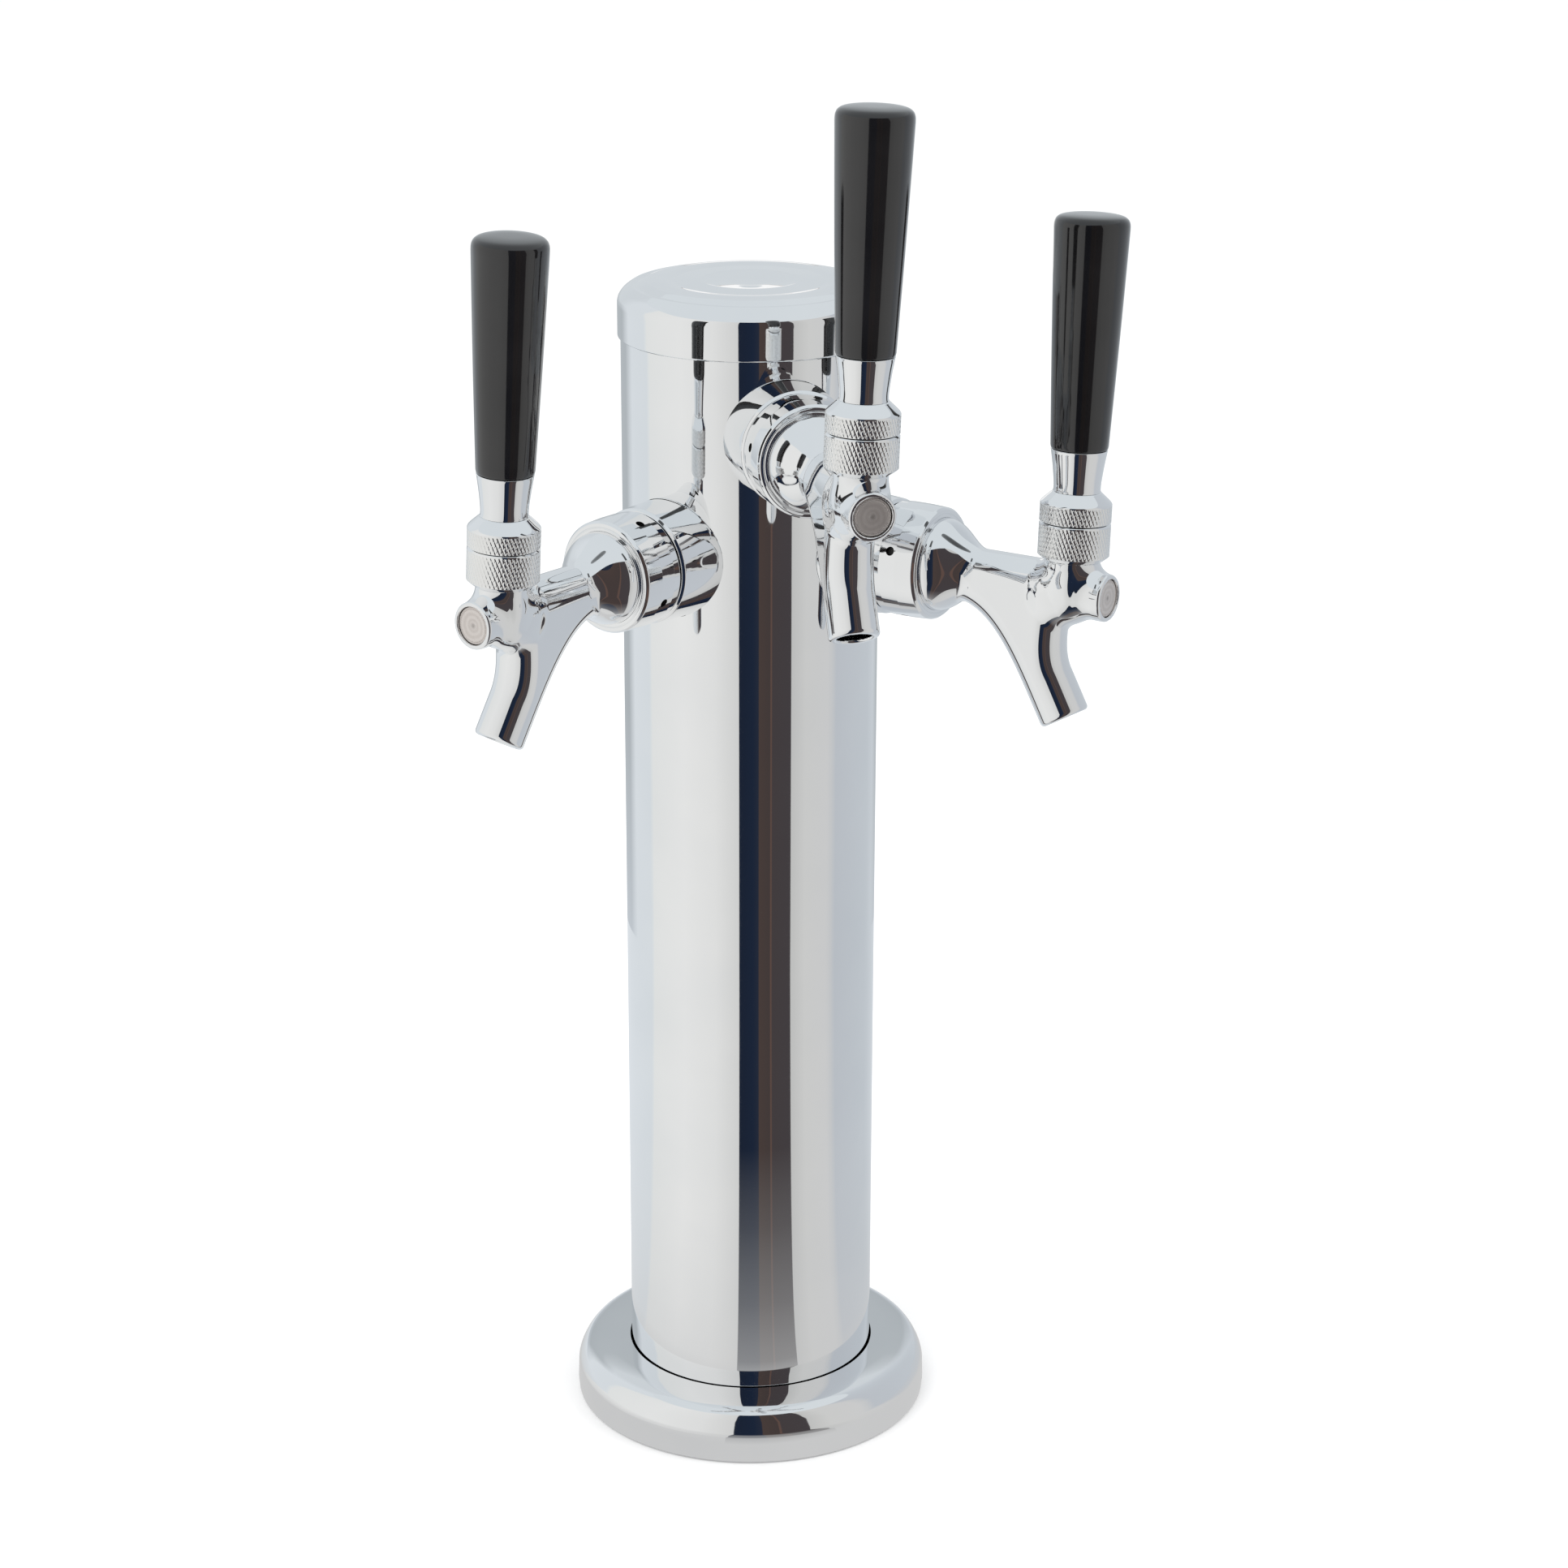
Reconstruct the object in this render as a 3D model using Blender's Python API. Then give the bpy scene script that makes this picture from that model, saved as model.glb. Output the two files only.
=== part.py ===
"""Draught beer tower with three lever faucets, as an assembly of separate solids.

Lengths are in millimetres and MM turns them into Blender's metres. +Z is up, and the tower
stands on z = 0 with its middle faucet nearly facing -Y. Each faucet is built in its own frame:
+X points straight out from the column, +Z is up and the origin is on the column's axis at the
height of the faucet's shank.
"""

import math

import bmesh
import bpy
from mathutils import Matrix, Vector
from mathutils.geometry import interpolate_bezier

MM = 0.001
GAP = 0.3

# The tower
COLUMN_RADIUS = 38.1
COLUMN_WALL = 1.5
COLUMN_BORE = COLUMN_RADIUS - COLUMN_WALL
TOWER_HEIGHT = 359.2
CAP_HEIGHT = 16.8
CAP_BOTTOM = TOWER_HEIGHT - CAP_HEIGHT
CAP_RADIUS = 39.0
SPIGOT_WALL = 3.2
SPIGOT_BOTTOM = 334.0
BASE_RADIUS = 55.4
SPIGOT_TOP = 20.7
FLANGE_BORE = 38.75
FLANGE_TOP = 17.2
GASKET_HEIGHT = 2.0
PLATE_BOTTOM = GASKET_HEIGHT + GAP
PLATE_TOP = 6.3
PLATE_RADIUS = 50.5
SCREW_CIRCLE = 44.5
SCREW_HOLE_RADIUS = 2.75
SCREW_HOLES = 4
LINE_OPENING = 33.0
FOAM_WALL = 9.0
FOAM_BOTTOM = 22.0
FOAM_TOP = 250.0
COLUMN_X = -0.6
COLUMN_Y = 32.5

# Where each faucet points, measured round from -Y towards +X, how high its shank is, how far
# its coupling was left turned, which leans the handle to one side, and where the coupling
# nut's first spanner hole came to rest
FAUCETS = {
    "left": {"turn": -48.2, "height": 282.7, "roll": 3.4, "nut": 70.0},
    "centre": {"turn": 6.8, "height": 319.5, "roll": 1.8, "nut": 80.0},
    "right": {"turn": 48.2, "height": 282.7, "roll": 3.4, "nut": 72.0},
}

# Shank, from the hose elbow inside the column out to the threaded head
SHANK_RADIUS = 8.0
SHANK_HOLE = SHANK_RADIUS + GAP
SHANK_BORE = 3.2
SHANK_INNER_END = 22.0
SHANK_HEAD_START = 50.9
SHANK_HEAD_END = 60.0
SHANK_HEAD_RADIUS = 14.0
COLLAR_RADIUS = 17.7
COLLAR_FRONT = 50.6
COLLAR_FRONT_RADIUS = 15.4
SADDLE_RADIUS = 12.5
SADDLE_FLAT = 32.0
LOCK_NUT_RADIUS = 13.0
LOCK_NUT_THICKNESS = 4.6
ELBOW_DROP_AT = 16.0
ELBOW_RADIUS = 6.0
BARB_LENGTH = 22.5
BARB_BORE = 2.4

# Coupling nut
NUT_START = 51.3
NUT_END = 65.8
NUT_RADIUS = 16.6
NUT_BORE = SHANK_HEAD_RADIUS + 2.0 * GAP
NUT_LIP_RADIUS = 13.6
NUT_LIP_START = 63.5
SPANNER_HOLES = 4
SPANNER_HOLE_RADIUS = 1.4
SPANNER_HOLE_AT = 57.5
SPANNER_HOLE_DEPTH = 1.2

# Faucet body
TAIL_START = 61.9
TAIL_FLANGE_RADIUS = NUT_BORE - GAP
TAIL_DOME_RADIUS = 13.2
SEAT_AT = 69.2
CHAMBER_RADIUS = 9.0
SEAT_HOLE_RADIUS = 4.0
BARREL_RADIUS = 6.4
REACH = 108.2
NECK_RADIUS = 7.6
NECK_TOP = 7.7
THREAD_RADIUS = 7.2
THREAD_TOP = 11.9
BOSS_RADIUS = 7.0
BOSS_END = 120.6
BOSS_DROP = 1.9
PLUG_RADIUS = 5.3
PLUG_START = 118.6
SPOUT_RADIUS = 7.2
SPOUT_BORE = 4.9
SPOUT_START = Vector((74.0, 0.0, -2.0))
SPOUT_TIP = Vector((108.7, 0.0, -38.7))
SPOUT_SLANT = 30.0

# Valve and lever, with the lever's ball at the pivot
SHAFT_RADIUS = 3.2
SHAFT_BORE = SHAFT_RADIUS + 0.25
SHAFT_WAIST = 1.9
SHAFT_END = 112.4
SHAFT_SLOT_RADIUS = 2.5
PIVOT_HEIGHT = 10.5
BALL_RADIUS = 5.6
BALL_CLEARANCE = BALL_RADIUS + GAP
TOE_RADIUS = 1.7
TOE_STEM = 1.0
LEVER_STEM = 2.2
LEVER_THREAD = 3.6
LEVER_THREAD_START = 23.4
LEVER_TOP = 55.0
LEVER_TRAVEL = 28.0
SEAT_RING_RADIUS = 6.0
WASHER_RADIUS = 6.9
WASHER_TOP = 14.6
TOE_THROAT = 4.5
CUP_FLOOR = 4.7

# Bonnet and handle, whose shared radius meets at a ball-shaped joint face
KNURL_RADIUS = 10.17
BONNET_BOTTOM = 8.0
BONNET_TOP = 18.1
BONNET_BORE = THREAD_RADIUS + GAP
COLLAR_SMOOTH_START = 23.9
COLLAR_TOP = 27.2
COLLAR_TOP_RADIUS = 6.9
FERRULE_TOP = 39.2
FERRULE_RADIUS = 6.65
GRIP_FOOT_RADIUS = 8.1
GRIP_RADIUS = 10.6
GRIP_SHOULDER = 101.8
GRIP_TOP = 105.1
HANDLE_BORE = LEVER_THREAD + GAP

# Sides of the round pieces
TOWER_SIDES = 32
OUTER_SIDES = 16
INNER_SIDES = 12
HOLE_SIDES = 8


def remove_everything():
    for thing in list(bpy.data.objects):
        bpy.data.objects.remove(thing)


def paint(name, colour, metallic, roughness):
    """A Principled material of one colour."""
    material = bpy.data.materials.new(name)
    material.use_nodes = True
    shader = material.node_tree.nodes["Principled BSDF"]
    shader.inputs["Base Color"].default_value = (*colour, 1.0)
    shader.inputs["Metallic"].default_value = metallic
    shader.inputs["Roughness"].default_value = roughness
    material.diffuse_color = (*colour, 1.0)
    return material


def make_materials():
    return {
        "chrome": paint("polished_chrome", (0.83, 0.84, 0.86), 1.0, 0.05),
        "knurl": paint("knurled_chrome", (0.72, 0.72, 0.73), 1.0, 0.28),
        "steel": paint("turned_steel", (0.66, 0.63, 0.60), 1.0, 0.35),
        "brass": paint("plain_brass", (0.72, 0.55, 0.27), 1.0, 0.30),
        "zinc": paint("zinc_plate", (0.60, 0.61, 0.63), 1.0, 0.45),
        "grip": paint("black_phenolic", (0.02, 0.02, 0.022), 0.0, 0.12),
        "rubber": paint("black_rubber", (0.03, 0.03, 0.03), 0.0, 0.75),
        "nylon": paint("white_nylon", (0.80, 0.79, 0.74), 0.0, 0.45),
        "foam": paint("insulating_foam", (0.55, 0.56, 0.57), 0.0, 0.90),
    }


# Solid makers. Each returns a bmesh in its object's own frame, in metres.


def turned(profile, sides, axis="Z"):
    """A profile of (radius, distance along the axis) turned round Z or X.

    A profile that starts and ends on the axis makes a solid, and any other closes on itself.
    """
    solid = bmesh.new()
    points = [solid.verts.new((radius * MM, 0.0, along * MM)) for radius, along in profile]
    edges = [solid.edges.new(pair) for pair in zip(points, points[1:])]
    if profile[0][0] > 0.0:
        edges.append(solid.edges.new((points[-1], points[0])))
    bmesh.ops.spin(
        solid,
        geom=points + edges,
        cent=(0.0, 0.0, 0.0),
        axis=(0.0, 0.0, 1.0),
        angle=2.0 * math.pi,
        steps=sides,
        use_merge=True,
    )
    bmesh.ops.remove_doubles(solid, verts=solid.verts, dist=0.001 * MM)
    bmesh.ops.recalc_face_normals(solid, faces=solid.faces)
    if axis == "X":
        solid.transform(Matrix.Rotation(math.pi / 2.0, 4, "Y"))
    return solid


def rod(radius, start, end, sides, axis="Z", at=(0.0, 0.0, 0.0)):
    """A plain round bar from start to end along the axis."""
    solid = turned([(0.0, start), (radius, start), (radius, end), (0.0, end)], sides, axis)
    solid.transform(Matrix.Translation(Vector(at) * MM))
    return solid


def block(low, high):
    """A rectangular block between two corners."""
    solid = bmesh.new()
    bmesh.ops.create_cube(solid, size=1.0)
    low, high = Vector(low) * MM, Vector(high) * MM
    solid.transform(Matrix.Translation((low + high) / 2.0) @ Matrix.Diagonal((*(high - low), 1.0)))
    return solid


def swept(path, radius, sides):
    """A round bar of one radius along a path that lies in the XZ plane."""
    solid = bmesh.new()
    rings = []
    for index, point in enumerate(path):
        ahead = path[min(index + 1, len(path) - 1)] - path[max(index - 1, 0)]
        across = Vector((0.0, 1.0, 0.0))
        up = ahead.normalized().cross(across)
        angles = [2.0 * math.pi * step / sides for step in range(sides)]
        places = [point + radius * (math.cos(a) * across + math.sin(a) * up) for a in angles]
        rings.append([solid.verts.new(place * MM) for place in places])
    for ring, following in zip(rings, rings[1:]):
        for step in range(sides):
            after = (step + 1) % sides
            solid.faces.new((ring[step], ring[after], following[after], following[step]))
    solid.faces.new(rings[0])
    solid.faces.new(rings[-1])
    bmesh.ops.recalc_face_normals(solid, faces=solid.faces)
    return solid


def combined(solid, tool, operation):
    """One solid cut by, joined to or kept only inside another."""
    scratch = []
    for mesh in (solid, tool):
        data = bpy.data.meshes.new("scratch")
        mesh.to_mesh(data)
        mesh.free()
        scratch.append(bpy.data.objects.new("scratch", data))
        bpy.context.scene.collection.objects.link(scratch[-1])
    boolean = scratch[0].modifiers.new("boolean", "BOOLEAN")
    boolean.operation = operation
    boolean.object = scratch[1]
    result = bmesh.new()
    result.from_object(scratch[0], bpy.context.evaluated_depsgraph_get())
    for thing in scratch:
        bpy.data.objects.remove(thing)
    return result


def cut(solid, *tools):
    for tool in tools:
        solid = combined(solid, tool, "DIFFERENCE")
    return solid


def joined(solid, *others):
    for other in others:
        solid = combined(solid, other, "UNION")
    return solid


def add(name, solid, material, parent):
    """Puts a finished solid in the scene as one named object."""
    data = bpy.data.meshes.new(name)
    solid.to_mesh(data)
    solid.free()
    data.materials.append(material)
    data.shade_smooth()
    data.set_sharp_from_angle(angle=math.radians(32.0))
    thing = bpy.data.objects.new(name, data)
    thing.parent = parent
    bpy.context.scene.collection.objects.link(thing)
    return thing


def empty(name, matrix, parent=None):
    thing = bpy.data.objects.new(name, None)
    thing.parent = parent
    thing.matrix_local = matrix
    bpy.context.scene.collection.objects.link(thing)
    return thing


def tipped_reach(distance, half_width):
    """How far off the upright axis a fully tipped stem's edge gets, so far from the pivot."""
    return distance * math.sin(math.radians(LEVER_TRAVEL) + math.asin(half_width / distance))


def dome(radius, start, end, steps, centre=PIVOT_HEIGHT, side=1.0):
    """Points on a ball's outline about the pivot, from one distance off its axis to another."""
    spread = [start + (end - start) * step / steps for step in range(steps + 1)]
    return [(off, centre + side * math.sqrt(radius**2 - off**2)) for off in spread]


# The tower's own pieces


def column_tube():
    outer, bore = COLUMN_RADIUS, COLUMN_BORE
    bottom, top = PLATE_TOP + GAP, CAP_BOTTOM - GAP
    tube = turned([(bore, bottom), (outer, bottom), (outer, top), (bore, top)], TOWER_SIDES)
    for place in FAUCETS.values():
        hole = rod(SHANK_HOLE, COLUMN_BORE - 8.0, COLUMN_RADIUS + 4.0, INNER_SIDES, "X")
        hole.transform(shank_matrix(place))
        tube = cut(tube, hole)
    return tube


def column_cap():
    """A domed cap with shallow rings on top and a spigot that plugs into the tube."""
    spigot = COLUMN_BORE - GAP
    shoulder = [(CAP_RADIUS, 352.4), (38.6, 353.9), (37.7, 355.1), (36.3, 356.5), (35.4, 356.5)]
    crown = [(31.3, 358.4), (29.3, 358.2), (24.5, TOWER_HEIGHT), (16.5, 358.5)]
    hollow = [(0.0, 354.5), (spigot - SPIGOT_WALL, 354.5), (spigot - SPIGOT_WALL, SPIGOT_BOTTOM)]
    skirt = [(spigot, SPIGOT_BOTTOM), (spigot, CAP_BOTTOM), (CAP_RADIUS, CAP_BOTTOM)]
    return turned(hollow + skirt + shoulder + crown + [(0.0, 358.7)], TOWER_SIDES)


def base_flange():
    """The polished trim cover that hides the mounting plate."""
    bore = COLUMN_RADIUS + GAP
    hole = [(bore, 10.5), (bore, 15.6), (FLANGE_BORE, 16.2), (FLANGE_BORE, FLANGE_TOP)]
    top = [(46.0, FLANGE_TOP - 0.1), (50.2, 16.3), (52.2, 15.0), (53.6, 13.1), (54.8, 9.9)]
    rim = [(BASE_RADIUS, 5.6), (55.3, 2.4), (55.0, GAP), (53.4, GAP), (53.4, 5.0), (52.6, 9.5)]
    under = [(50.8, 12.6), (48.0, 14.3), (44.0, 14.6), (40.2, 13.8), (40.0, 10.5)]
    return turned(hole + top + rim + under, TOWER_SIDES)


def base_plate():
    """The plate that is screwed to the counter, with a spigot inside the tube."""
    spigot = COLUMN_BORE - GAP
    plate = turned(
        [
            (LINE_OPENING, PLATE_BOTTOM),
            (PLATE_RADIUS, PLATE_BOTTOM),
            (PLATE_RADIUS, PLATE_TOP),
            (spigot, PLATE_TOP),
            (spigot, SPIGOT_TOP),
            (LINE_OPENING, SPIGOT_TOP),
        ],
        TOWER_SIDES,
    )
    for index in range(SCREW_HOLES):
        angle = 2.0 * math.pi * (index + 0.5) / SCREW_HOLES
        centre = (SCREW_CIRCLE * math.cos(angle), SCREW_CIRCLE * math.sin(angle), 0.0)
        plate = cut(plate, rod(SCREW_HOLE_RADIUS, 0.0, PLATE_TOP + 2.0, HOLE_SIDES, "Z", centre))
    return plate


def base_gasket():
    inner, outer = LINE_OPENING, PLATE_RADIUS + 1.5
    return turned(
        [(inner, 0.0), (outer, 0.0), (outer, GASKET_HEIGHT), (inner, GASKET_HEIGHT)], TOWER_SIDES
    )


def insulation_sleeve():
    outer = COLUMN_BORE - GAP
    inner = outer - FOAM_WALL
    return turned(
        [(inner, FOAM_BOTTOM), (outer, FOAM_BOTTOM), (outer, FOAM_TOP), (inner, FOAM_TOP)],
        TOWER_SIDES,
    )


# Pieces of one faucet. The shank's pieces stand square on the column.


def shank():
    neck, head = SHANK_HEAD_START, SHANK_HEAD_END
    return turned(
        [
            (SHANK_BORE, SHANK_INNER_END),
            (SHANK_RADIUS, SHANK_INNER_END),
            (SHANK_RADIUS, neck),
            (SHANK_HEAD_RADIUS, neck),
            (SHANK_HEAD_RADIUS, head),
            (7.0, head),
            (7.0, head - 3.0),
            (SHANK_BORE, head - 5.0),
        ],
        INNER_SIDES,
        "X",
    )


def shank_collar():
    """A turned ring whose back is scooped to sit on the round column."""
    front = [(17.2, 44.8), (16.6, 46.8), (15.8, 50.1), (COLLAR_FRONT_RADIUS, COLLAR_FRONT)]
    rear = [(SHANK_HOLE, COLLAR_FRONT), (SHANK_HOLE, 32.0), (COLLAR_RADIUS, 32.0)]
    ring = turned(rear + [(COLLAR_RADIUS, 42.5)] + front, OUTER_SIDES, "X")
    return cut(ring, rod(COLUMN_RADIUS + GAP, -40.0, 40.0, TOWER_SIDES))


def saddle_washer():
    """Flat towards the lock nut and round towards the tube's inner wall."""
    ring = turned(
        [(SHANK_HOLE, SADDLE_FLAT), (SADDLE_RADIUS, SADDLE_FLAT)]
        + [(SADDLE_RADIUS, COLUMN_RADIUS), (SHANK_HOLE, COLUMN_RADIUS)],
        INNER_SIDES,
        "X",
    )
    return combined(ring, rod(COLUMN_BORE - GAP, -40.0, 40.0, TOWER_SIDES), "INTERSECT")


def lock_nut():
    end = SADDLE_FLAT - GAP
    nut = rod(LOCK_NUT_RADIUS, end - LOCK_NUT_THICKNESS, end, 6, "X")
    return cut(nut, rod(SHANK_HOLE, 0.0, COLUMN_RADIUS, INNER_SIDES, "X"))


def tail_elbow():
    """A right-angled hose tail with three barbs."""
    barbs = [(5.0, 0.0), (5.0, -8.6)]
    for index in range(3):
        top = -9.0 - 4.4 * index
        barbs += [(3.9, top), (4.6, top - 3.6)]
    leg = [(0.0, 0.0)] + barbs + [(3.4, -BARB_LENGTH), (0.0, -BARB_LENGTH)]
    drop = turned(leg, HOLE_SIDES)
    drop.transform(Matrix.Translation((ELBOW_DROP_AT * MM, 0.0, 0.0)))
    end = SHANK_INNER_END - GAP
    elbow = joined(rod(ELBOW_RADIUS, ELBOW_DROP_AT - 5.6, end, INNER_SIDES, "X"), drop)
    inlet = rod(BARB_BORE, -BARB_LENGTH - 1.0, 0.9, HOLE_SIDES, "Z", (ELBOW_DROP_AT, 0.0, 0.0))
    outlet = rod(SHANK_BORE, ELBOW_DROP_AT - 0.5, end + 1.0, HOLE_SIDES, "X")
    return cut(elbow, inlet, outlet)


def coupling_washer():
    start, end = SHANK_HEAD_END + GAP, TAIL_START - GAP
    inner, outer = CHAMBER_RADIUS + GAP, TAIL_FLANGE_RADIUS - GAP
    return turned([(inner, start), (outer, start), (outer, end), (inner, end)], INNER_SIDES, "X")


# The faucet itself, which hangs on its coupling nut.


def coupling_nut(clocking):
    back = [(NUT_BORE, NUT_START), (15.6, NUT_START), (16.4, NUT_START + 1.0)]
    front = [(NUT_RADIUS, 61.6), (16.3, 63.6), (15.2, NUT_END), (NUT_LIP_RADIUS, NUT_END)]
    lip = [(NUT_LIP_RADIUS, NUT_LIP_START), (NUT_BORE, NUT_LIP_START)]
    nut = turned(back + [(NUT_RADIUS, NUT_START + 2.6)] + front + lip, OUTER_SIDES, "X")
    for index in range(SPANNER_HOLES):
        start = NUT_RADIUS - SPANNER_HOLE_DEPTH
        hole = rod(SPANNER_HOLE_RADIUS, start, NUT_RADIUS + 2.0, HOLE_SIDES)
        angle = math.radians(clocking) + 2.0 * math.pi * index / SPANNER_HOLES
        hole.transform(Matrix.Rotation(angle, 4, "X"))
        hole.transform(Matrix.Translation((SPANNER_HOLE_AT * MM, 0.0, 0.0)))
        nut = cut(nut, hole)
    return nut


def spout_path(start, steps):
    """The spout's centre line, from near the tail down to the slanted tip."""
    slant = math.radians(SPOUT_SLANT)
    down = Vector((math.sin(slant), 0.0, -math.cos(slant)))
    before_tip = SPOUT_TIP - 21.0 * down
    after_start = Vector((90.0, 0.0, -4.0))
    return interpolate_bezier(start, after_start, before_tip, SPOUT_TIP, steps)


def body_shell():
    """The outside of the cast body: tail, barrel, neck, front boss and spout."""
    flange = [(0.0, TAIL_START), (TAIL_FLANGE_RADIUS, TAIL_START), (TAIL_FLANGE_RADIUS, 63.2)]
    bell = [(TAIL_DOME_RADIUS, 63.2), (TAIL_DOME_RADIUS, 66.4), (12.4, 69.0), (9.6, 72.6)]
    barrel = [(7.4, 76.4), (BARREL_RADIUS, 80.5), (BARREL_RADIUS, 110.0), (0.0, 110.0)]
    tail = turned(flange + bell + barrel, OUTER_SIDES, "X")
    neck = turned(
        [(0.0, 0.0), (NECK_RADIUS, 0.0), (NECK_RADIUS, NECK_TOP), (THREAD_RADIUS, NECK_TOP)]
        + [(THREAD_RADIUS, THREAD_TOP), (0.0, THREAD_TOP)],
        OUTER_SIDES,
    )
    neck.transform(Matrix.Translation((REACH * MM, 0.0, 0.0)))
    boss = turned(
        [(0.0, 101.0), (6.2, 101.0), (6.5, 114.0), (BOSS_RADIUS, 118.0)]
        + [(BOSS_RADIUS, 119.6), (6.1, BOSS_END), (0.0, BOSS_END)],
        OUTER_SIDES,
        "X",
    )
    boss.transform(Matrix.Translation((0.0, 0.0, -BOSS_DROP * MM)))
    spout = swept(spout_path(SPOUT_START, 7), SPOUT_RADIUS, INNER_SIDES)
    return joined(tail, spout, boss, neck)


def body_passages():
    """The hollows in the body, from the tail chamber to the spout and up to the lever's ball."""
    chamber = rod(CHAMBER_RADIUS, TAIL_START - 1.0, SEAT_AT, INNER_SIDES, "X")
    seat_hole = rod(SEAT_HOLE_RADIUS, SEAT_AT - 1.0, SEAT_AT + 6.0, INNER_SIDES, "X")
    guide = rod(SHAFT_BORE, SEAT_AT + 1.0, BOSS_END - 1.0, INNER_SIDES, "X")
    slant = math.radians(SPOUT_SLANT)
    beyond = SPOUT_TIP + 2.0 * Vector((math.sin(slant), 0.0, -math.cos(slant)))
    line = spout_path(SPOUT_START + Vector((0.0, 0.0, 0.6)), 6) + [beyond]
    beer_way = swept(line, SPOUT_BORE, HOLE_SIDES)
    pocket_at = (0.0, 0.0, -BOSS_DROP)
    pocket = rod(PLUG_RADIUS + GAP, PLUG_START - GAP, BOSS_END + 1.0, INNER_SIDES, "X", pocket_at)
    above = (REACH, 0.0, 0.0)
    cup = rod(SEAT_RING_RADIUS + GAP, CUP_FLOOR, THREAD_TOP + 1.0, INNER_SIDES, "Z", above)
    throat = rod(TOE_THROAT, 0.0, CUP_FLOOR + GAP, INNER_SIDES, "Z", above)
    slot = block((REACH - 7.2, -2.1, 0.4), (REACH, 2.1, CUP_FLOOR + 0.2))
    return [chamber, seat_hole, guide, beer_way, pocket, cup, throat, slot]


def faucet_body():
    return cut(body_shell(), *body_passages())


def front_plug():
    start = PLUG_START
    face = [(PLUG_RADIUS, start), (PLUG_RADIUS, 120.1), (4.7, 120.2), (0.0, 119.9)]
    plug = turned([(0.0, start)] + face, INNER_SIDES, "X")
    plug.transform(Matrix.Translation((0.0, 0.0, -BOSS_DROP * MM)))
    return plug


def valve_shaft():
    """Slides along the barrel: it carries the seal at the tail and the lever's toe in front."""
    head = [(0.0, 65.3), (3.4, 65.3), (3.4, 66.4), (SHAFT_WAIST, 66.4), (SHAFT_WAIST, 69.2)]
    land = [(SHAFT_RADIUS, 69.2), (SHAFT_RADIUS, 70.6), (SHAFT_WAIST, 71.2), (SHAFT_WAIST, 89.0)]
    guide = [(SHAFT_RADIUS, 90.4), (SHAFT_RADIUS, SHAFT_END), (0.0, SHAFT_END)]
    shaft = turned(head + land + guide, INNER_SIDES, "X")
    return cut(shaft, rod(SHAFT_SLOT_RADIUS, -5.0, 5.0, INNER_SIDES, "Z", (REACH, 0.0, 0.0)))


def shaft_seal():
    inner, outer = SHAFT_WAIST + GAP, 6.2
    return turned([(inner, 66.7), (outer, 66.7), (outer, 68.9), (inner, 68.9)], INNER_SIDES, "X")


def ball_seat():
    """The nylon cup under the lever's ball."""
    floor = CUP_FLOOR + GAP
    cup = dome(BALL_CLEARANCE, SEAT_RING_RADIUS - GAP, TOE_THROAT, 2, side=-1.0)
    outside = [(TOE_THROAT, floor), (SEAT_RING_RADIUS, floor), (SEAT_RING_RADIUS, cup[0][1])]
    return turned(outside + cup, INNER_SIDES)


def friction_washer():
    """The ring that the bonnet presses onto the top of the lever's ball."""
    bottom, top = THREAD_TOP + GAP, WASHER_TOP
    mouth = tipped_reach(BALL_CLEARANCE, LEVER_STEM + GAP)
    cup = dome(BALL_CLEARANCE, 5.65, mouth, 2)
    return turned(cup + [(mouth + 0.5, top), (WASHER_RADIUS, top), (WASHER_RADIUS, bottom)], INNER_SIDES)


def bonnet():
    """The knurled nut over the ball, domed on top so that the lever can tip over it."""
    radius = math.hypot(KNURL_RADIUS, BONNET_TOP - PIVOT_HEIGHT)
    outside = [(BONNET_BORE, BONNET_BOTTOM), (8.1, BONNET_BOTTOM), (KNURL_RADIUS, 10.0)]
    top = dome(radius, KNURL_RADIUS, tipped_reach(radius, LEVER_STEM + 2.0 * GAP), 3)
    ceiling = WASHER_TOP + GAP
    return turned(outside + top + [(5.5, ceiling), (BONNET_BORE, ceiling)], OUTER_SIDES)


# The lever's pieces are drawn about the pivot, so that they tip round it.


def lever():
    """One turned rod: a toe in the valve shaft, the ball it tips on, and the handle's thread."""
    toe = [(TOE_RADIUS * math.sin(a), -TOE_RADIUS * math.cos(a)) for a in arc(0.0, 135.0, 3)]
    ball = [(BALL_RADIUS * math.sin(a), -BALL_RADIUS * math.cos(a)) for a in arc(14.0, 156.0, 6)]
    below = [(0.0, toe[0][1])] + toe[1:] + [(TOE_STEM, 1.6)]
    around = [(off, PIVOT_HEIGHT + rise) for off, rise in ball]
    stem = [(LEVER_STEM, 16.4), (LEVER_STEM, 23.0), (LEVER_THREAD, LEVER_THREAD_START)]
    return turned(below + around + stem + [(LEVER_THREAD, LEVER_TOP), (0.0, LEVER_TOP)], INNER_SIDES)


def arc(start, end, steps):
    """Angles in radians, evenly spaced from start to end in degrees."""
    return [math.radians(start + (end - start) * step / steps) for step in range(steps + 1)]


def lever_collar():
    """The knurled ring under the handle, hollowed to ride over the domed bonnet."""
    radius = math.hypot(KNURL_RADIUS, BONNET_TOP - PIVOT_HEIGHT) + GAP + 0.05
    hollow = dome(radius, HANDLE_BORE, KNURL_RADIUS, 4)
    outside = [(KNURL_RADIUS, COLLAR_SMOOTH_START), (COLLAR_TOP_RADIUS, COLLAR_TOP)]
    return turned(hollow + outside + [(HANDLE_BORE, COLLAR_TOP)], OUTER_SIDES)


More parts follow.
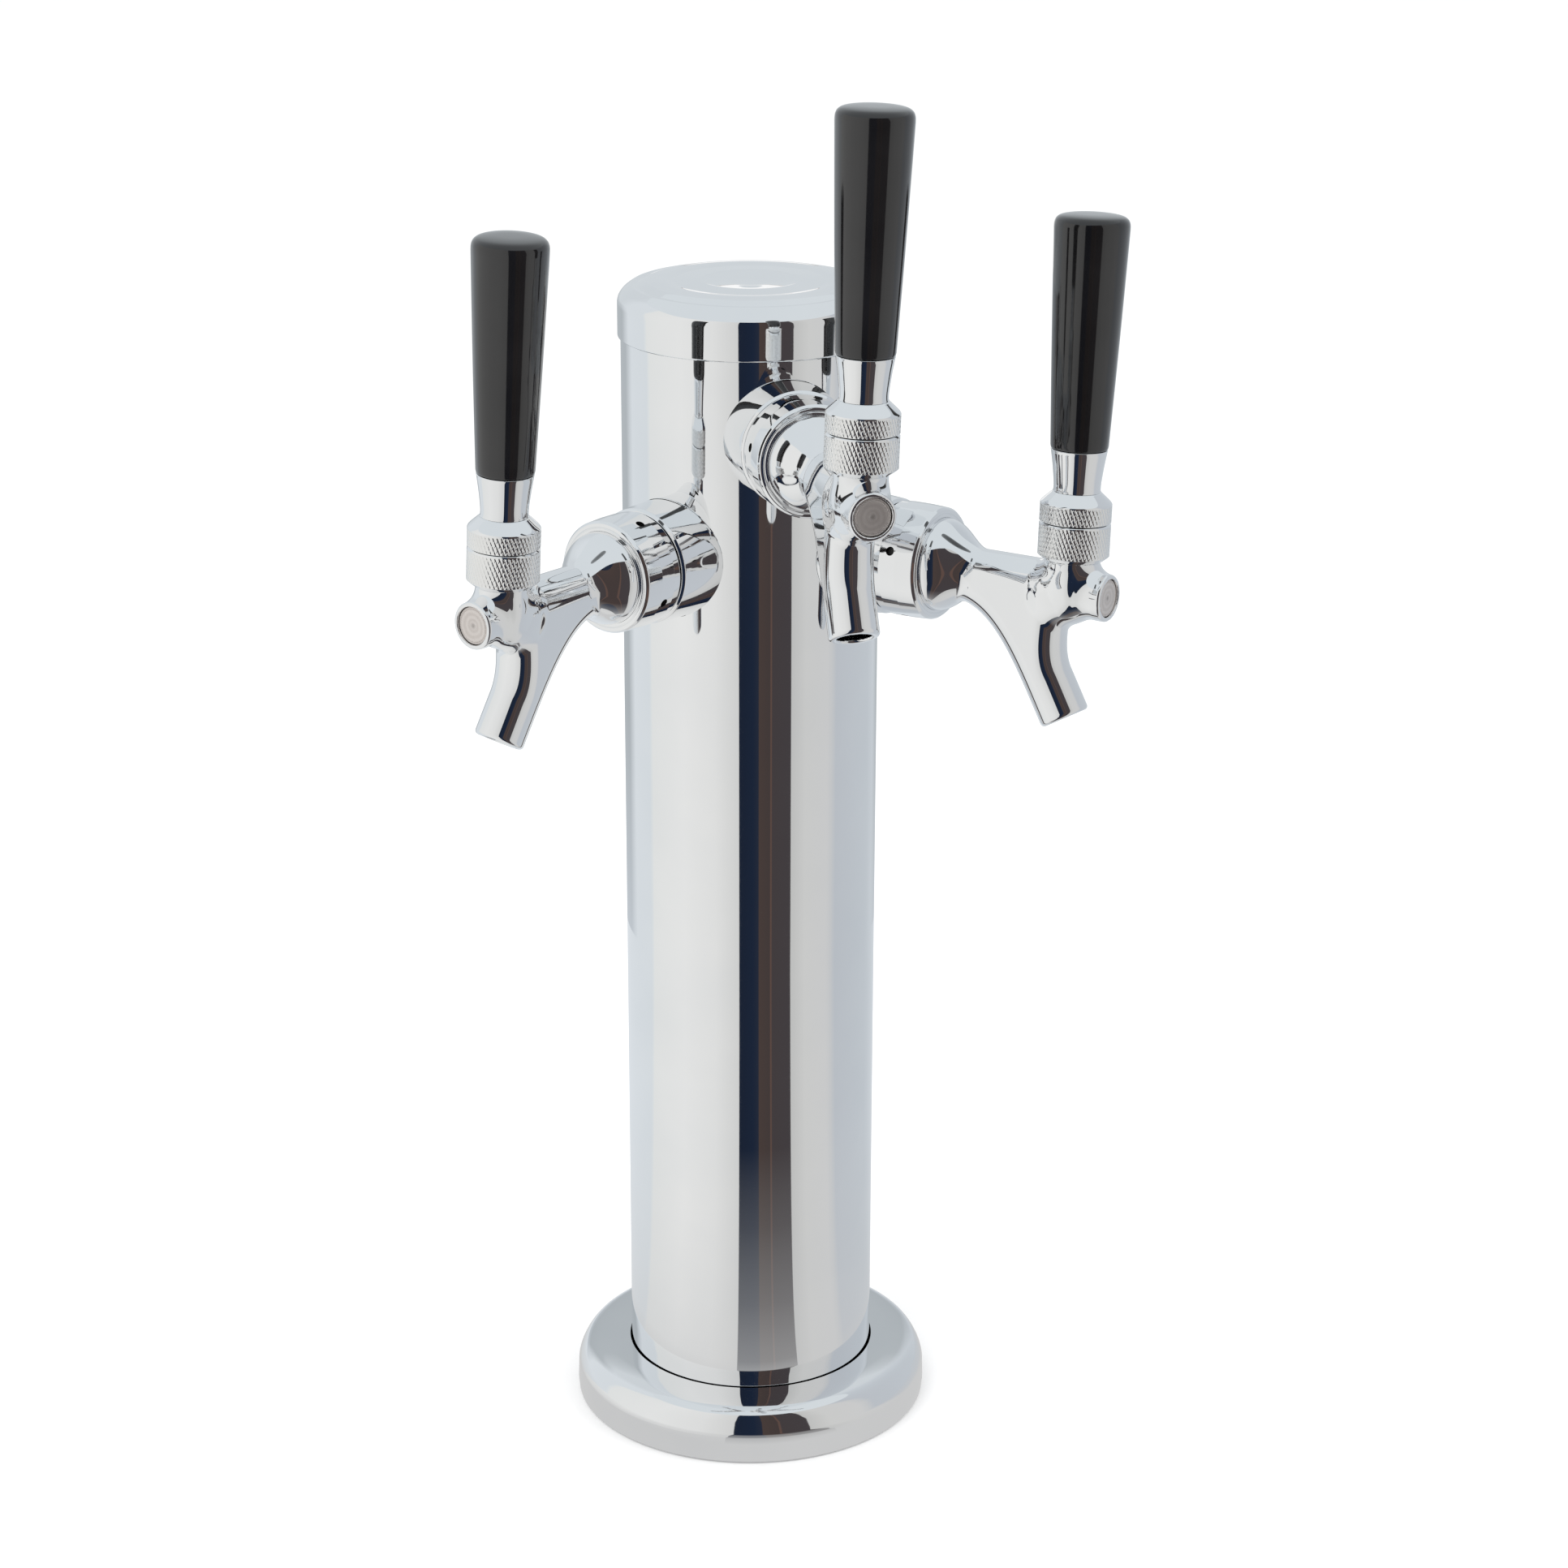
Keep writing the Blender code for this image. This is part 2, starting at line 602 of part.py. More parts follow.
def ferrule():
    bottom = COLLAR_TOP + GAP
    outside = [(FERRULE_RADIUS, bottom), (GRIP_FOOT_RADIUS, FERRULE_TOP)]
    return turned([(HANDLE_BORE, bottom)] + outside + [(HANDLE_BORE, FERRULE_TOP)], OUTER_SIDES)


def grip():
    """The tapered black handle, bored from below for the lever's thread."""
    bottom = FERRULE_TOP + GAP
    bore = [(0.0, LEVER_TOP + 1.0), (HANDLE_BORE, LEVER_TOP + 1.0), (HANDLE_BORE, bottom)]
    side = [(GRIP_FOOT_RADIUS, bottom), (9.3, 66.0), (GRIP_RADIUS, GRIP_SHOULDER)]
    crown = [(10.1, 103.4), (8.6, 104.5), (0.0, GRIP_TOP)]
    return turned(bore + side + crown, OUTER_SIDES)


# Assembly


def column_matrix():
    return Matrix.Translation((COLUMN_X * MM, COLUMN_Y * MM, 0.0))


def shank_matrix(place):
    """A faucet's square frame in the tower's: X out from the column, at the shank's height."""
    lift = Matrix.Translation((0.0, 0.0, place["height"] * MM))
    return lift @ Matrix.Rotation(math.radians(place["turn"] - 90.0), 4, "Z")


def add_tower(tower, materials):
    add("column_tube", column_tube(), materials["chrome"], tower)
    add("column_cap", column_cap(), materials["chrome"], tower)
    add("base_flange", base_flange(), materials["chrome"], tower)
    add("base_plate", base_plate(), materials["zinc"], tower)
    add("base_gasket", base_gasket(), materials["rubber"], tower)
    add("insulation_sleeve", insulation_sleeve(), materials["foam"], tower)


def add_shank(side, place, tower, materials):
    square = empty(f"shank_frame_{side}", shank_matrix(place), tower)
    add(f"shank_{side}", shank(), materials["steel"], square)
    add(f"shank_collar_{side}", shank_collar(), materials["chrome"], square)
    add(f"saddle_washer_{side}", saddle_washer(), materials["nylon"], square)
    add(f"lock_nut_{side}", lock_nut(), materials["brass"], square)
    add(f"tail_elbow_{side}", tail_elbow(), materials["steel"], square)
    return square


def add_faucet(side, place, square, materials):
    roll = Matrix.Rotation(math.radians(-place["roll"]), 4, "X")
    faucet = empty(f"faucet_frame_{side}", roll, square)
    add(f"coupling_washer_{side}", coupling_washer(), materials["rubber"], faucet)
    add(f"coupling_nut_{side}", coupling_nut(place["nut"]), materials["chrome"], faucet)
    add(f"faucet_body_{side}", faucet_body(), materials["chrome"], faucet)
    add(f"front_plug_{side}", front_plug(), materials["steel"], faucet)
    add(f"valve_shaft_{side}", valve_shaft(), materials["steel"], faucet)
    add(f"shaft_seal_{side}", shaft_seal(), materials["rubber"], faucet)
    neck = empty(f"neck_frame_{side}", Matrix.Translation((REACH * MM, 0.0, 0.0)), faucet)
    add(f"ball_seat_{side}", ball_seat(), materials["nylon"], neck)
    add(f"friction_washer_{side}", friction_washer(), materials["rubber"], neck)
    add(f"bonnet_{side}", bonnet(), materials["knurl"], neck)
    return neck


def add_lever(side, neck, materials):
    pivot = empty(f"lever_pivot_{side}", Matrix.Translation((0.0, 0.0, PIVOT_HEIGHT * MM)), neck)
    looks = {"lever": "steel", "lever_collar": "knurl", "ferrule": "chrome", "grip": "grip"}
    makers = {"lever": lever, "lever_collar": lever_collar, "ferrule": ferrule, "grip": grip}
    for name, make in makers.items():
        solid = make()
        solid.transform(Matrix.Translation((0.0, 0.0, -PIVOT_HEIGHT * MM)))
        add(f"{name}_{side}", solid, materials[looks[name]], pivot)


def main():
    remove_everything()
    materials = make_materials()
    tower = empty("tower_frame", column_matrix())
    add_tower(tower, materials)
    for side, place in FAUCETS.items():
        square = add_shank(side, place, tower, materials)
        neck = add_faucet(side, place, square, materials)
        add_lever(side, neck, materials)


main()
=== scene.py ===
import math

import bmesh
import bpy
import numpy as np
from mathutils import Matrix, Vector


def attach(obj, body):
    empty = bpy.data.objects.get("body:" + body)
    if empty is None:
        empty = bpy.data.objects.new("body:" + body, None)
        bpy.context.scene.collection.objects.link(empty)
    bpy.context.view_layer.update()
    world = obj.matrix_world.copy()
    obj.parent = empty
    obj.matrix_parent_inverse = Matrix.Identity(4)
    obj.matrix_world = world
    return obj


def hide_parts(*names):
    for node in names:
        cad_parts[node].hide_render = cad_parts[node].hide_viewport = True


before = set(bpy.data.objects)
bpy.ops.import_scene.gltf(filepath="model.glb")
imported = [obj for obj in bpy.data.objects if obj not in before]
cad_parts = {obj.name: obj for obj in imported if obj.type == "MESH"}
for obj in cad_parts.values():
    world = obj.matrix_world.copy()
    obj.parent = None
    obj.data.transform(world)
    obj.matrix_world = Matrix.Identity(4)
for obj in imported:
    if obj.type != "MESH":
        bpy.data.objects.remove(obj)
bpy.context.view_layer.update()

# Everything below is drawn in millimetres and placed in metres.
MM = 0.001
ROUND = 192
SMALL_ROUND = 112
SHARP = 32.0  # edges sharper than this many degrees stay crisp

COLUMN_X, COLUMN_Y = -0.6, 32.5
COLUMN_RADIUS = 38.1
FAUCETS = {
    "left": {"turn": -48.2, "height": 282.7, "roll": 3.4, "nut": 70.0},
    "centre": {"turn": 6.8, "height": 319.5, "roll": 1.8, "nut": 80.0},
    "right": {"turn": 48.2, "height": 282.7, "roll": 3.4, "nut": 72.0},
}
SHANK_HOLE = 8.3
REACH = 108.2  # from the column's axis out to the lever's
PIVOT = 10.5  # the lever's ball, above the barrel's axis
KNURL_RADIUS = 10.17
BONNET_TOP = 18.1
MOUTH = 8.35  # the bonnet's opening, as wide as the tipped stem needs
GROOVES = 52
SPANNER_HOLES = 4
SPANNER_HOLE_AT = 57.5
SPANNER_HOLE_BOTTOM = 15.4
BOSS_DROP = 1.9
DISC_CENTRE = 119.0


# --------------------------------------------------------------------------- materials


class Nodes:
    """A material's node tree with short calls to add and link nodes."""

    def __init__(self, name):
        self.material = bpy.data.materials.new(name)
        self.material.use_nodes = True
        self.tree = self.material.node_tree
        self.shader = self.tree.nodes["Principled BSDF"]

    def add(self, kind, **settings):
        node = self.tree.nodes.new(kind)
        for key, value in settings.items():
            setattr(node, key, value)
        return node

    def link(self, output, target):
        self.tree.links.new(output, target)

    def noise(self, scale, detail, stretch=(1.0, 1.0, 1.0)):
        place = self.add("ShaderNodeTexCoord")
        mapping = self.add("ShaderNodeMapping")
        mapping.inputs["Scale"].default_value = stretch
        noise = self.add("ShaderNodeTexNoise")
        noise.inputs["Scale"].default_value = scale
        noise.inputs["Detail"].default_value = detail
        self.link(place.outputs["Object"], mapping.inputs["Vector"])
        self.link(mapping.outputs["Vector"], noise.inputs["Vector"])
        return noise.outputs["Fac"]

    def spread(self, value, low, high, start=0.3, end=0.7):
        """A number between low and high that follows value."""
        span = self.add("ShaderNodeMapRange")
        span.inputs["From Min"].default_value = start
        span.inputs["From Max"].default_value = end
        span.inputs["To Min"].default_value = low
        span.inputs["To Max"].default_value = high
        self.link(value, span.inputs["Value"])
        return span.outputs["Result"]

    def ramp(self, value, low, high, start=0.3, end=0.7):
        """A colour between low and high that follows value."""
        ramp = self.add("ShaderNodeValToRGB")
        ramp.color_ramp.elements[0].position = start
        ramp.color_ramp.elements[0].color = (*low, 1.0)
        ramp.color_ramp.elements[1].position = end
        ramp.color_ramp.elements[1].color = (*high, 1.0)
        self.link(value, ramp.inputs["Fac"])
        return ramp.outputs["Color"]

    def bump(self, height, strength, distance):
        bump = self.add("ShaderNodeBump")
        bump.inputs["Strength"].default_value = strength
        bump.inputs["Distance"].default_value = distance
        self.link(height, bump.inputs["Height"])
        return bump.outputs["Normal"]

    def rings_about_x(self, place, scale, distortion, detail, detail_scale):
        """Turning marks: rings about the X axis of the given coordinates."""
        wave = self.add(
            "ShaderNodeTexWave", wave_type="RINGS", rings_direction="X", wave_profile="SIN"
        )
        wave.inputs["Scale"].default_value = scale
        wave.inputs["Distortion"].default_value = distortion
        wave.inputs["Detail"].default_value = detail
        wave.inputs["Detail Scale"].default_value = detail_scale
        self.link(place, wave.inputs["Vector"])
        return wave.outputs["Fac"]

    def finish(self, colour, roughness, normal=None):
        self.link(colour, self.shader.inputs["Base Color"])
        self.link(roughness, self.shader.inputs["Roughness"])
        if normal is not None:
            self.link(normal, self.shader.inputs["Normal"])
        return self.material


def chrome():
    """Mirror plating with faint wipe marks."""
    n = Nodes("polished_chrome")
    n.shader.inputs["Metallic"].default_value = 1.0
    broad = n.noise(28.0, 4.0)
    fine = n.noise(900.0, 3.0, (1.0, 1.0, 0.25))
    colour = n.ramp(broad, (0.885, 0.895, 0.905), (0.925, 0.93, 0.935))
    roughness = n.spread(broad, 0.018, 0.045)
    normal = n.bump(fine, 0.02, 0.00002)
    return n.finish(colour, roughness, normal)


def knurled_chrome():
    """Plating over cut diamonds, a little duller than the mirror."""
    n = Nodes("knurled_chrome")
    n.shader.inputs["Metallic"].default_value = 1.0
    broad = n.noise(60.0, 4.0)
    fine = n.noise(2500.0, 3.0)
    colour = n.ramp(broad, (0.87, 0.87, 0.86), (0.94, 0.94, 0.93))
    roughness = n.spread(fine, 0.06, 0.11)
    normal = n.bump(fine, 0.08, 0.00004)
    return n.finish(colour, roughness, normal)


def turned_steel():
    """Warm grey steel faced on a lathe: rings and a centre dot about the piece's own X axis."""
    n = Nodes("turned_steel")
    n.shader.inputs["Metallic"].default_value = 1.0
    place = n.add("ShaderNodeTexCoord").outputs["Object"]
    fine = n.rings_about_x(place, 1250.0, 0.6, 3.0, 0.4)
    marks = n.rings_about_x(place, 190.0, 2.5, 4.0, 0.8)
    colour = n.ramp(marks, (0.74, 0.69, 0.66), (0.82, 0.77, 0.74), 0.1, 0.9)
    flat = n.add("ShaderNodeVectorMath", operation="MULTIPLY")
    flat.inputs[1].default_value = (0.0, 1.0, 1.0)
    n.link(place, flat.inputs[0])
    off_axis = n.add("ShaderNodeVectorMath", operation="LENGTH")
    n.link(flat.outputs["Vector"], off_axis.inputs[0])
    dot = n.spread(off_axis.outputs["Value"], 0.72, 1.0, 0.0003, 0.0012)
    shade = n.add("ShaderNodeVectorMath", operation="SCALE")
    n.link(colour, shade.inputs[0])
    n.link(dot, shade.inputs["Scale"])
    roughness = n.spread(fine, 0.44, 0.60, 0.0, 1.0)
    return n.finish(shade.outputs["Vector"], roughness, n.bump(fine, 0.25, 0.00002))


def machined(name, low, high, dull, shiny, scale=180.0, metallic=1.0):
    """A machined metal, rubber or plastic with mottled colour and fine tool marks."""
    n = Nodes(name)
    n.shader.inputs["Metallic"].default_value = metallic
    broad = n.noise(scale, 4.0)
    marks = n.noise(1400.0, 4.0, (1.0, 1.0, 0.1))
    return n.finish(
        n.ramp(broad, low, high),
        n.spread(marks, shiny, dull),
        n.bump(marks, 0.15, 0.00003),
    )


def black_grip():
    """Deep gloss black phenolic with a faint moulded ripple."""
    n = Nodes("black_phenolic")
    n.shader.inputs["IOR"].default_value = 1.54
    n.shader.inputs["Coat Weight"].default_value = 0.5
    n.shader.inputs["Coat Roughness"].default_value = 0.04
    broad = n.noise(45.0, 4.0)
    fine = n.noise(700.0, 3.0)
    return n.finish(
        n.ramp(broad, (0.0045, 0.0043, 0.0046), (0.009, 0.0085, 0.009)),
        n.spread(fine, 0.07, 0.13),
        n.bump(fine, 0.03, 0.00003),
    )


def foam():
    n = Nodes("closed_cell_foam")
    cells = n.add("ShaderNodeTexVoronoi")
    cells.inputs["Scale"].default_value = 900.0
    place = n.add("ShaderNodeTexCoord")
    n.link(place.outputs["Object"], cells.inputs["Vector"])
    return n.finish(
        n.ramp(n.noise(90.0, 4.0), (0.30, 0.31, 0.32), (0.46, 0.47, 0.48)),
        n.spread(cells.outputs["Distance"], 0.82, 0.95, 0.0, 1.0),
        n.bump(cells.outputs["Distance"], 0.5, 0.0002),
    )


MATERIALS = {
    "chrome": chrome(),
    "knurled_chrome": knurled_chrome(),
    "turned_steel": turned_steel(),
    "plain_steel": machined("plain_steel", (0.48, 0.47, 0.46), (0.62, 0.61, 0.60), 0.42, 0.22),
    "zinc_plate": machined("zinc_plate", (0.50, 0.51, 0.53), (0.66, 0.67, 0.69), 0.5, 0.32, 60.0),
    # near-black metal for the nut's blind holes: painted shade in the recesses
    "painted_shade_recess": machined("painted_shade_recess", (0.03, 0.03, 0.03), (0.07, 0.07, 0.07), 0.6, 0.4),
    "brass": machined("plain_brass", (0.58, 0.42, 0.18), (0.74, 0.56, 0.27), 0.4, 0.22),
    "rubber": machined(
        "black_rubber", (0.018, 0.018, 0.018), (0.035, 0.034, 0.033), 0.85, 0.65, metallic=0.0
    ),
    "nylon": machined(
        "white_nylon", (0.70, 0.68, 0.62), (0.80, 0.79, 0.75), 0.55, 0.38, metallic=0.0
    ),
    "black_grip": black_grip(),
    "foam": foam(),
}


# --------------------------------------------------------------------------- outlines


def fillet(corners, closed, steps=5, support=0.12):
    """Rounds the corners that give a third number, and adds a point close to each round."""
    count = len(corners)
    made = []
    for index, corner in enumerate(corners):
        here = np.array(corner[:2], float)
        radius = corner[2] if len(corner) > 2 else 0.0
        if radius == 0.0 or (not closed and index in (0, count - 1)):
            made.append(here)
            continue
        before = np.array(corners[index - 1][:2], float) - here
        after = np.array(corners[(index + 1) % count][:2], float) - here
        room_before, room_after = np.linalg.norm(before), np.linalg.norm(after)
        before, after = before / room_before, after / room_after
        between = math.acos(max(-1.0, min(1.0, float(before @ after))))
        turn = math.pi - between
        if turn < 0.02:
            made.append(here)
            continue
        back = min(radius * math.tan(turn / 2.0), 0.46 * room_before, 0.46 * room_after)
        radius = back / math.tan(turn / 2.0)
        middle = before + after
        centre = here + middle / np.linalg.norm(middle) * math.hypot(radius, back)
        start, end = here + before * back - centre, here + after * back - centre
        if room_before - back > 2.5 * support:
            made.append(here + before * (back + support))
        for step in range(steps + 1):
            share = step / steps
            weights = math.sin((1.0 - share) * turn), math.sin(share * turn)
            made.append(centre + (weights[0] * start + weights[1] * end) / math.sin(turn))
        if room_after - back > 2.5 * support:
            made.append(here + after * (back + support))
    return made


def curve(points, steps):
    """Points on a smooth curve through points, as (radius, along) pairs."""
    made = []
    for index in range(len(points) - 1):
        p0 = np.array(points[max(index - 1, 0)], float)
        p1, p2 = np.array(points[index], float), np.array(points[index + 1], float)
        p3 = np.array(points[min(index + 2, len(points) - 1)], float)
        for step in range(steps):
            t = step / steps
            made.append(
                0.5
                * (
                    2.0 * p1
                    + (p2 - p0) * t
                    + (2.0 * p0 - 5.0 * p1 + 4.0 * p2 - p3) * t**2
                    + (3.0 * p1 - p0 - 3.0 * p2 + p3) * t**3
                )
            )
    made.append(np.array(points[-1], float))
    return made


def cap_arc(radius, start, end, steps=12):
    """Points on a ball about the lever's pivot, from one distance off its axis to another."""
    spread = [start + (end - start) * step / steps for step in range(steps + 1)]
    return [(off, PIVOT + math.sqrt(radius**2 - off**2)) for off in spread]


# --------------------------------------------------------------------------- meshes


def finished(name, vertices, faces, sharp=SHARP, up_is_x=False):
    """A mesh in metres from millimetre points, with outward faces and smooth shading."""
    points = np.asarray(vertices, float) * MM
    if up_is_x:  # the axis that was Z becomes X
        points = np.stack([points[:, 2], points[:, 1], -points[:, 0]], axis=1)
    mesh = bpy.data.meshes.new(name)
    mesh.from_pydata(points.tolist(), [], faces)
    work = bmesh.new()
    work.from_mesh(mesh)
    bmesh.ops.recalc_face_normals(work, faces=work.faces)
    work.to_mesh(mesh)
    work.free()
    mesh.shade_smooth()
    mesh.set_sharp_from_angle(angle=math.radians(sharp))
    return mesh


def level(value, angles):
    """The same number all round a ring."""
    return np.full(len(angles), float(value))


def rings(profile, segments, closed, shape=None):
    """Vertices and faces of a profile of (radius, along) turned about Z.

    shape(radius, along, angles) may return new radii and distances round one ring.
    """
    angles = np.arange(segments) * 2.0 * math.pi / segments
    vertices, starts = [], []
    for radius, along in profile:
        starts.append(len(vertices))
        if radius < 1e-6:
            vertices.append((0.0, 0.0, along))
            continue
        radii, heights = level(radius, angles), level(along, angles)
        if shape is not None:
            radii, heights = shape(radius, along, angles)
        vertices += list(zip(radii * np.cos(angles), radii * np.sin(angles), heights))
    starts.append(len(vertices))
    faces = []
    pairs = [(i, i + 1) for i in range(len(profile) - 1)]
    if closed:
        pairs.append((len(profile) - 1, 0))
    for one, two in pairs:
        a, b = starts[one], starts[two]
        a_point, b_point = profile[one][0] < 1e-6, profile[two][0] < 1e-6
        for step in range(segments):
            after = (step + 1) % segments
            if a_point and b_point:
                continue
            if a_point:
                faces.append((a, b + after, b + step))
            elif b_point:
                faces.append((a + step, a + after, b))
            else:
                faces.append((a + step, a + after, b + after, b + step))
    return vertices, faces


def lathe(name, corners, segments=ROUND, axis="Z", steps=5, shape=None):
    """A turned piece from profile corners of (radius, along) or (radius, along, fillet)."""
    closed = corners[0][0] > 1e-6
    profile = fillet(corners, closed, steps)
    vertices, faces = rings(profile, segments, closed, shape)
    return finished(name, vertices, faces, up_is_x=(axis == "X"))


def cut(mesh, *tools):
    """mesh with the tool meshes cut out of it."""
    piece = bpy.data.objects.new("scratch", mesh)
    bpy.context.scene.collection.objects.link(piece)
    for tool in tools:
        other = bpy.data.objects.new("scratch", tool)
        bpy.context.scene.collection.objects.link(other)
        boolean = piece.modifiers.new("cut", "BOOLEAN")
        boolean.operation = "DIFFERENCE"
        boolean.solver = "EXACT"
        boolean.object = other
    graph = bpy.context.evaluated_depsgraph_get()
    made = bpy.data.meshes.new_from_object(piece.evaluated_get(graph))
    made.name = mesh.name
    made.materials.clear()
    for modifier in piece.modifiers:
        bpy.data.objects.remove(modifier.object)
    bpy.data.objects.remove(piece)
    made.shade_smooth()
    made.set_sharp_from_angle(angle=math.radians(SHARP))
    return made


def put(name, mesh, matrix, body, slot, *nodes):
    """Places a copy of a mesh as one piece that stands for CAD nodes."""
    mesh = mesh.copy()
    mesh.name = name
    piece = bpy.data.objects.new(name, mesh)
    bpy.context.scene.collection.objects.link(piece)
    if slot == "turned_steel":  # its rings are drawn about the piece's own axis
        piece.matrix_world = matrix
    else:
        mesh.transform(matrix)
    mesh.materials.append(MATERIALS[slot])
    if slot == "knurled_chrome":  # its plain faces are mirror bright
        mesh.materials.append(MATERIALS["chrome"])
    if nodes[0].startswith("coupling_nut"):  # its blind holes get a near-black metal: painted shade in the recesses
        mesh.materials.append(MATERIALS["painted_shade_recess"])
    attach(piece, body)
    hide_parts(*nodes)
    return piece


# --------------------------------------------------------------------------- frames


def column_frame():
    return Matrix.Translation((COLUMN_X * MM, COLUMN_Y * MM, 0.0))


def shank_frame(side):
    place = FAUCETS[side]
    lift = Matrix.Translation((0.0, 0.0, place["height"] * MM))
    return column_frame() @ lift @ Matrix.Rotation(math.radians(place["turn"] - 90.0), 4, "Z")


def faucet_frame(side):
    roll = Matrix.Rotation(math.radians(-FAUCETS[side]["roll"]), 4, "X")
    return shank_frame(side) @ roll


def neck_frame(side):
    return faucet_frame(side) @ Matrix.Translation((REACH * MM, 0.0, 0.0))


# --------------------------------------------------------------------------- tower


def column_mesh():
    """The polished tube, with rings close above and below each shank's hole."""
    outer, bore = COLUMN_RADIUS, COLUMN_RADIUS - 1.5
    bottom, top = 6.6, 342.1
    levels = [bottom, 21.0, 120.0, 200.0, 262.0, 272.5, 293.0, 309.3, 329.7, top]
    corners = [(outer, level) for level in levels] + [(bore, level) for level in reversed(levels)]
    shell = lathe("column_shell", corners, ROUND)
    drill = [(0.0, 28.0), (SHANK_HOLE, 28.0), (SHANK_HOLE, 44.0), (0.0, 44.0)]
    holes = []
    for side in FAUCETS:
        hole = lathe("hole", drill, 64, "X")
        hole.transform(column_frame().inverted() @ shank_frame(side))
        holes.append(hole)
    return cut(shell, *holes)


def cap_mesh():
    """The cap: a straight skirt, a soft shoulder, two shallow steps and a slightly dished top."""
    radius, plug, inner, skirt_foot = 39.0, 36.3, 33.1, 342.4
    hollow = [(0.0, 354.5), (inner, 354.5, 1.0), (inner, 334.0)]
    skirt = [(plug, 334.0, 0.3), (plug, skirt_foot), (radius, skirt_foot, 0.35)]
    skirt += [(radius, 348.0), (radius, 351.6)]
    shoulder = [(radius, 352.4), (38.75, 353.6), (38.1, 354.75), (37.3, 355.7), (36.3, 356.5)]
    step = [(35.2, 357.25), (34.6, 357.4), (33.3, 357.26), (32.6, 357.5), (30.6, 358.35)]
    dome = [(29.4, 358.5), (25.6, 358.72), (22.2, 358.39), (21.0, 358.42), (15.2, 358.62)]
    dish = [(13.8, 358.54), (9.0, 358.1), (4.5, 357.7), (2.0, 357.6), (0.0, 357.6)]
    crown = [tuple(p) for p in curve(shoulder + step + dome + dish, 5)]
    return lathe("cap_shell", hollow + skirt + crown, ROUND)


def flange_mesh():
    """The polished foot cover: nearly flat on top, then rounding over to the floor."""
    bore, mouth = 38.4, 38.62
    hole = [(bore, 10.5), (bore, 15.6), (mouth, 16.2), (mouth, 17.2, 0.12)]
    slope = [(41.0, 17.2), (45.0, 17.12), (48.5, 16.7), (50.5, 16.1), (52.0, 15.2), (53.2, 13.8)]
    side = [(53.95, 12.5), (54.6, 11.1), (55.0, 9.9), (55.17, 9.0), (55.23, 8.0), (55.38, 3.0)]
    outside = [tuple(p) for p in curve(slope + side, 5)]
    rim = [(55.1, 0.3, 0.15), (53.4, 0.3, 0.2), (53.4, 5.0), (52.6, 9.5)]
    under = [(50.8, 12.6), (48.0, 14.3), (44.0, 14.6), (40.2, 13.8), (40.0, 10.5)]
    return lathe("foot_flange", hole + outside + rim + under, ROUND)


def build_tower():
    here = column_frame()
    put("column_shell", column_mesh(), here, "root", "chrome", "column_tube")
    put("cap_shell", cap_mesh(), here, "root", "chrome", "column_cap")
    put("foot_flange", flange_mesh(), here, "root", "chrome", "base_flange")


# --------------------------------------------------------------------------- couplings


def collar_mesh():
    """The shank's collar, whose back is scooped to sit on the column."""
    seat = COLUMN_RADIUS + 0.15

    def scooped(radius, along, angles):
        heights = level(along, angles)
        if along < 36.0:
            across = radius * np.sin(angles)
            heights = np.sqrt(seat**2 - across**2) + (along - 32.0)
        return level(radius, angles), heights

    back = [(SHANK_HOLE, 32.0), (11.0, 32.0), (14.0, 32.0), (16.5, 32.0)]
    back += [(17.4, 32.0), (17.6, 32.2)]
    body = [(17.6, 32.5), (17.5, 38.0), (17.35, 44.0), (16.95, 49.9, 0.45)]
    front = [(16.2, 50.6, 0.4), (13.9, 50.6), (13.9, 50.3), (SHANK_HOLE, 50.3)]
    return lathe("collar", back + body + front, SMALL_ROUND, "X", shape=scooped)


def in_a_hole(point):
    """Whether a face's middle is inside one of the nut's blind holes."""
    reach = math.hypot(point.y, point.z) / MM
    beside = abs(point.x / MM - SPANNER_HOLE_AT)
    return beside < 1.45 and SPANNER_HOLE_BOTTOM - 0.2 < reach < 16.45


def nut_mesh(clocking):
    """The coupling nut with its narrow rounded lip and its blind spanner holes."""
    back = [(14.6, 50.9, 0.2), (15.9, 50.9, 0.3), (16.45, 51.7, 0.5), (16.6, 54.2, 2.0)]
    front = [(16.6, 55.6), (16.6, 59.4, 4.0), (16.35, 64.9, 0.7)]
    front += [(15.65, 65.8, 0.6), (14.75, 65.8, 0.3)]
    lip = [(14.45, 65.5, 0.12), (14.2, 65.75, 0.2), (13.55, 65.75, 0.04)]
    seat = [(13.55, 63.5, 0.1), (14.6, 63.5)]
    nut = lathe("nut", back + front + lip + seat, SMALL_ROUND, "X")
    bottom = SPANNER_HOLE_BOTTOM
    bit = [(0.0, bottom), (1.15, bottom, 0.2), (1.3, 16.2), (1.4, 18.6), (0.0, 18.6)]
    holes = []
    for index in range(SPANNER_HOLES):
        hole = lathe("hole", bit, 24)
        angle = math.radians(clocking) + 2.0 * math.pi * index / SPANNER_HOLES
        hole.transform(Matrix.Rotation(angle, 4, "X"))
        hole.transform(Matrix.Translation((SPANNER_HOLE_AT * MM, 0.0, 0.0)))
        holes.append(hole)
    nut = cut(nut, *holes)
    nut.polygons.foreach_set("material_index", [int(in_a_hole(p.center)) for p in nut.polygons])
    return nut


def plug_mesh():
    """The faced disc in the boss, drawn about its own centre."""
    face = [
        (0.0, 118.6),
        (5.3, 118.6, 0.1),
        (5.3, 119.75, 0.15),
        (4.95, 119.9, 0.1),
        (4.72, 119.72, 0.08),
        (4.5, 119.92, 0.1),
        (0.9, 119.85, 0.3),
        (0.0, 119.78),
    ]
    return lathe("disc", face, SMALL_ROUND, "X", steps=3)


# --------------------------------------------------------------------------- cast body

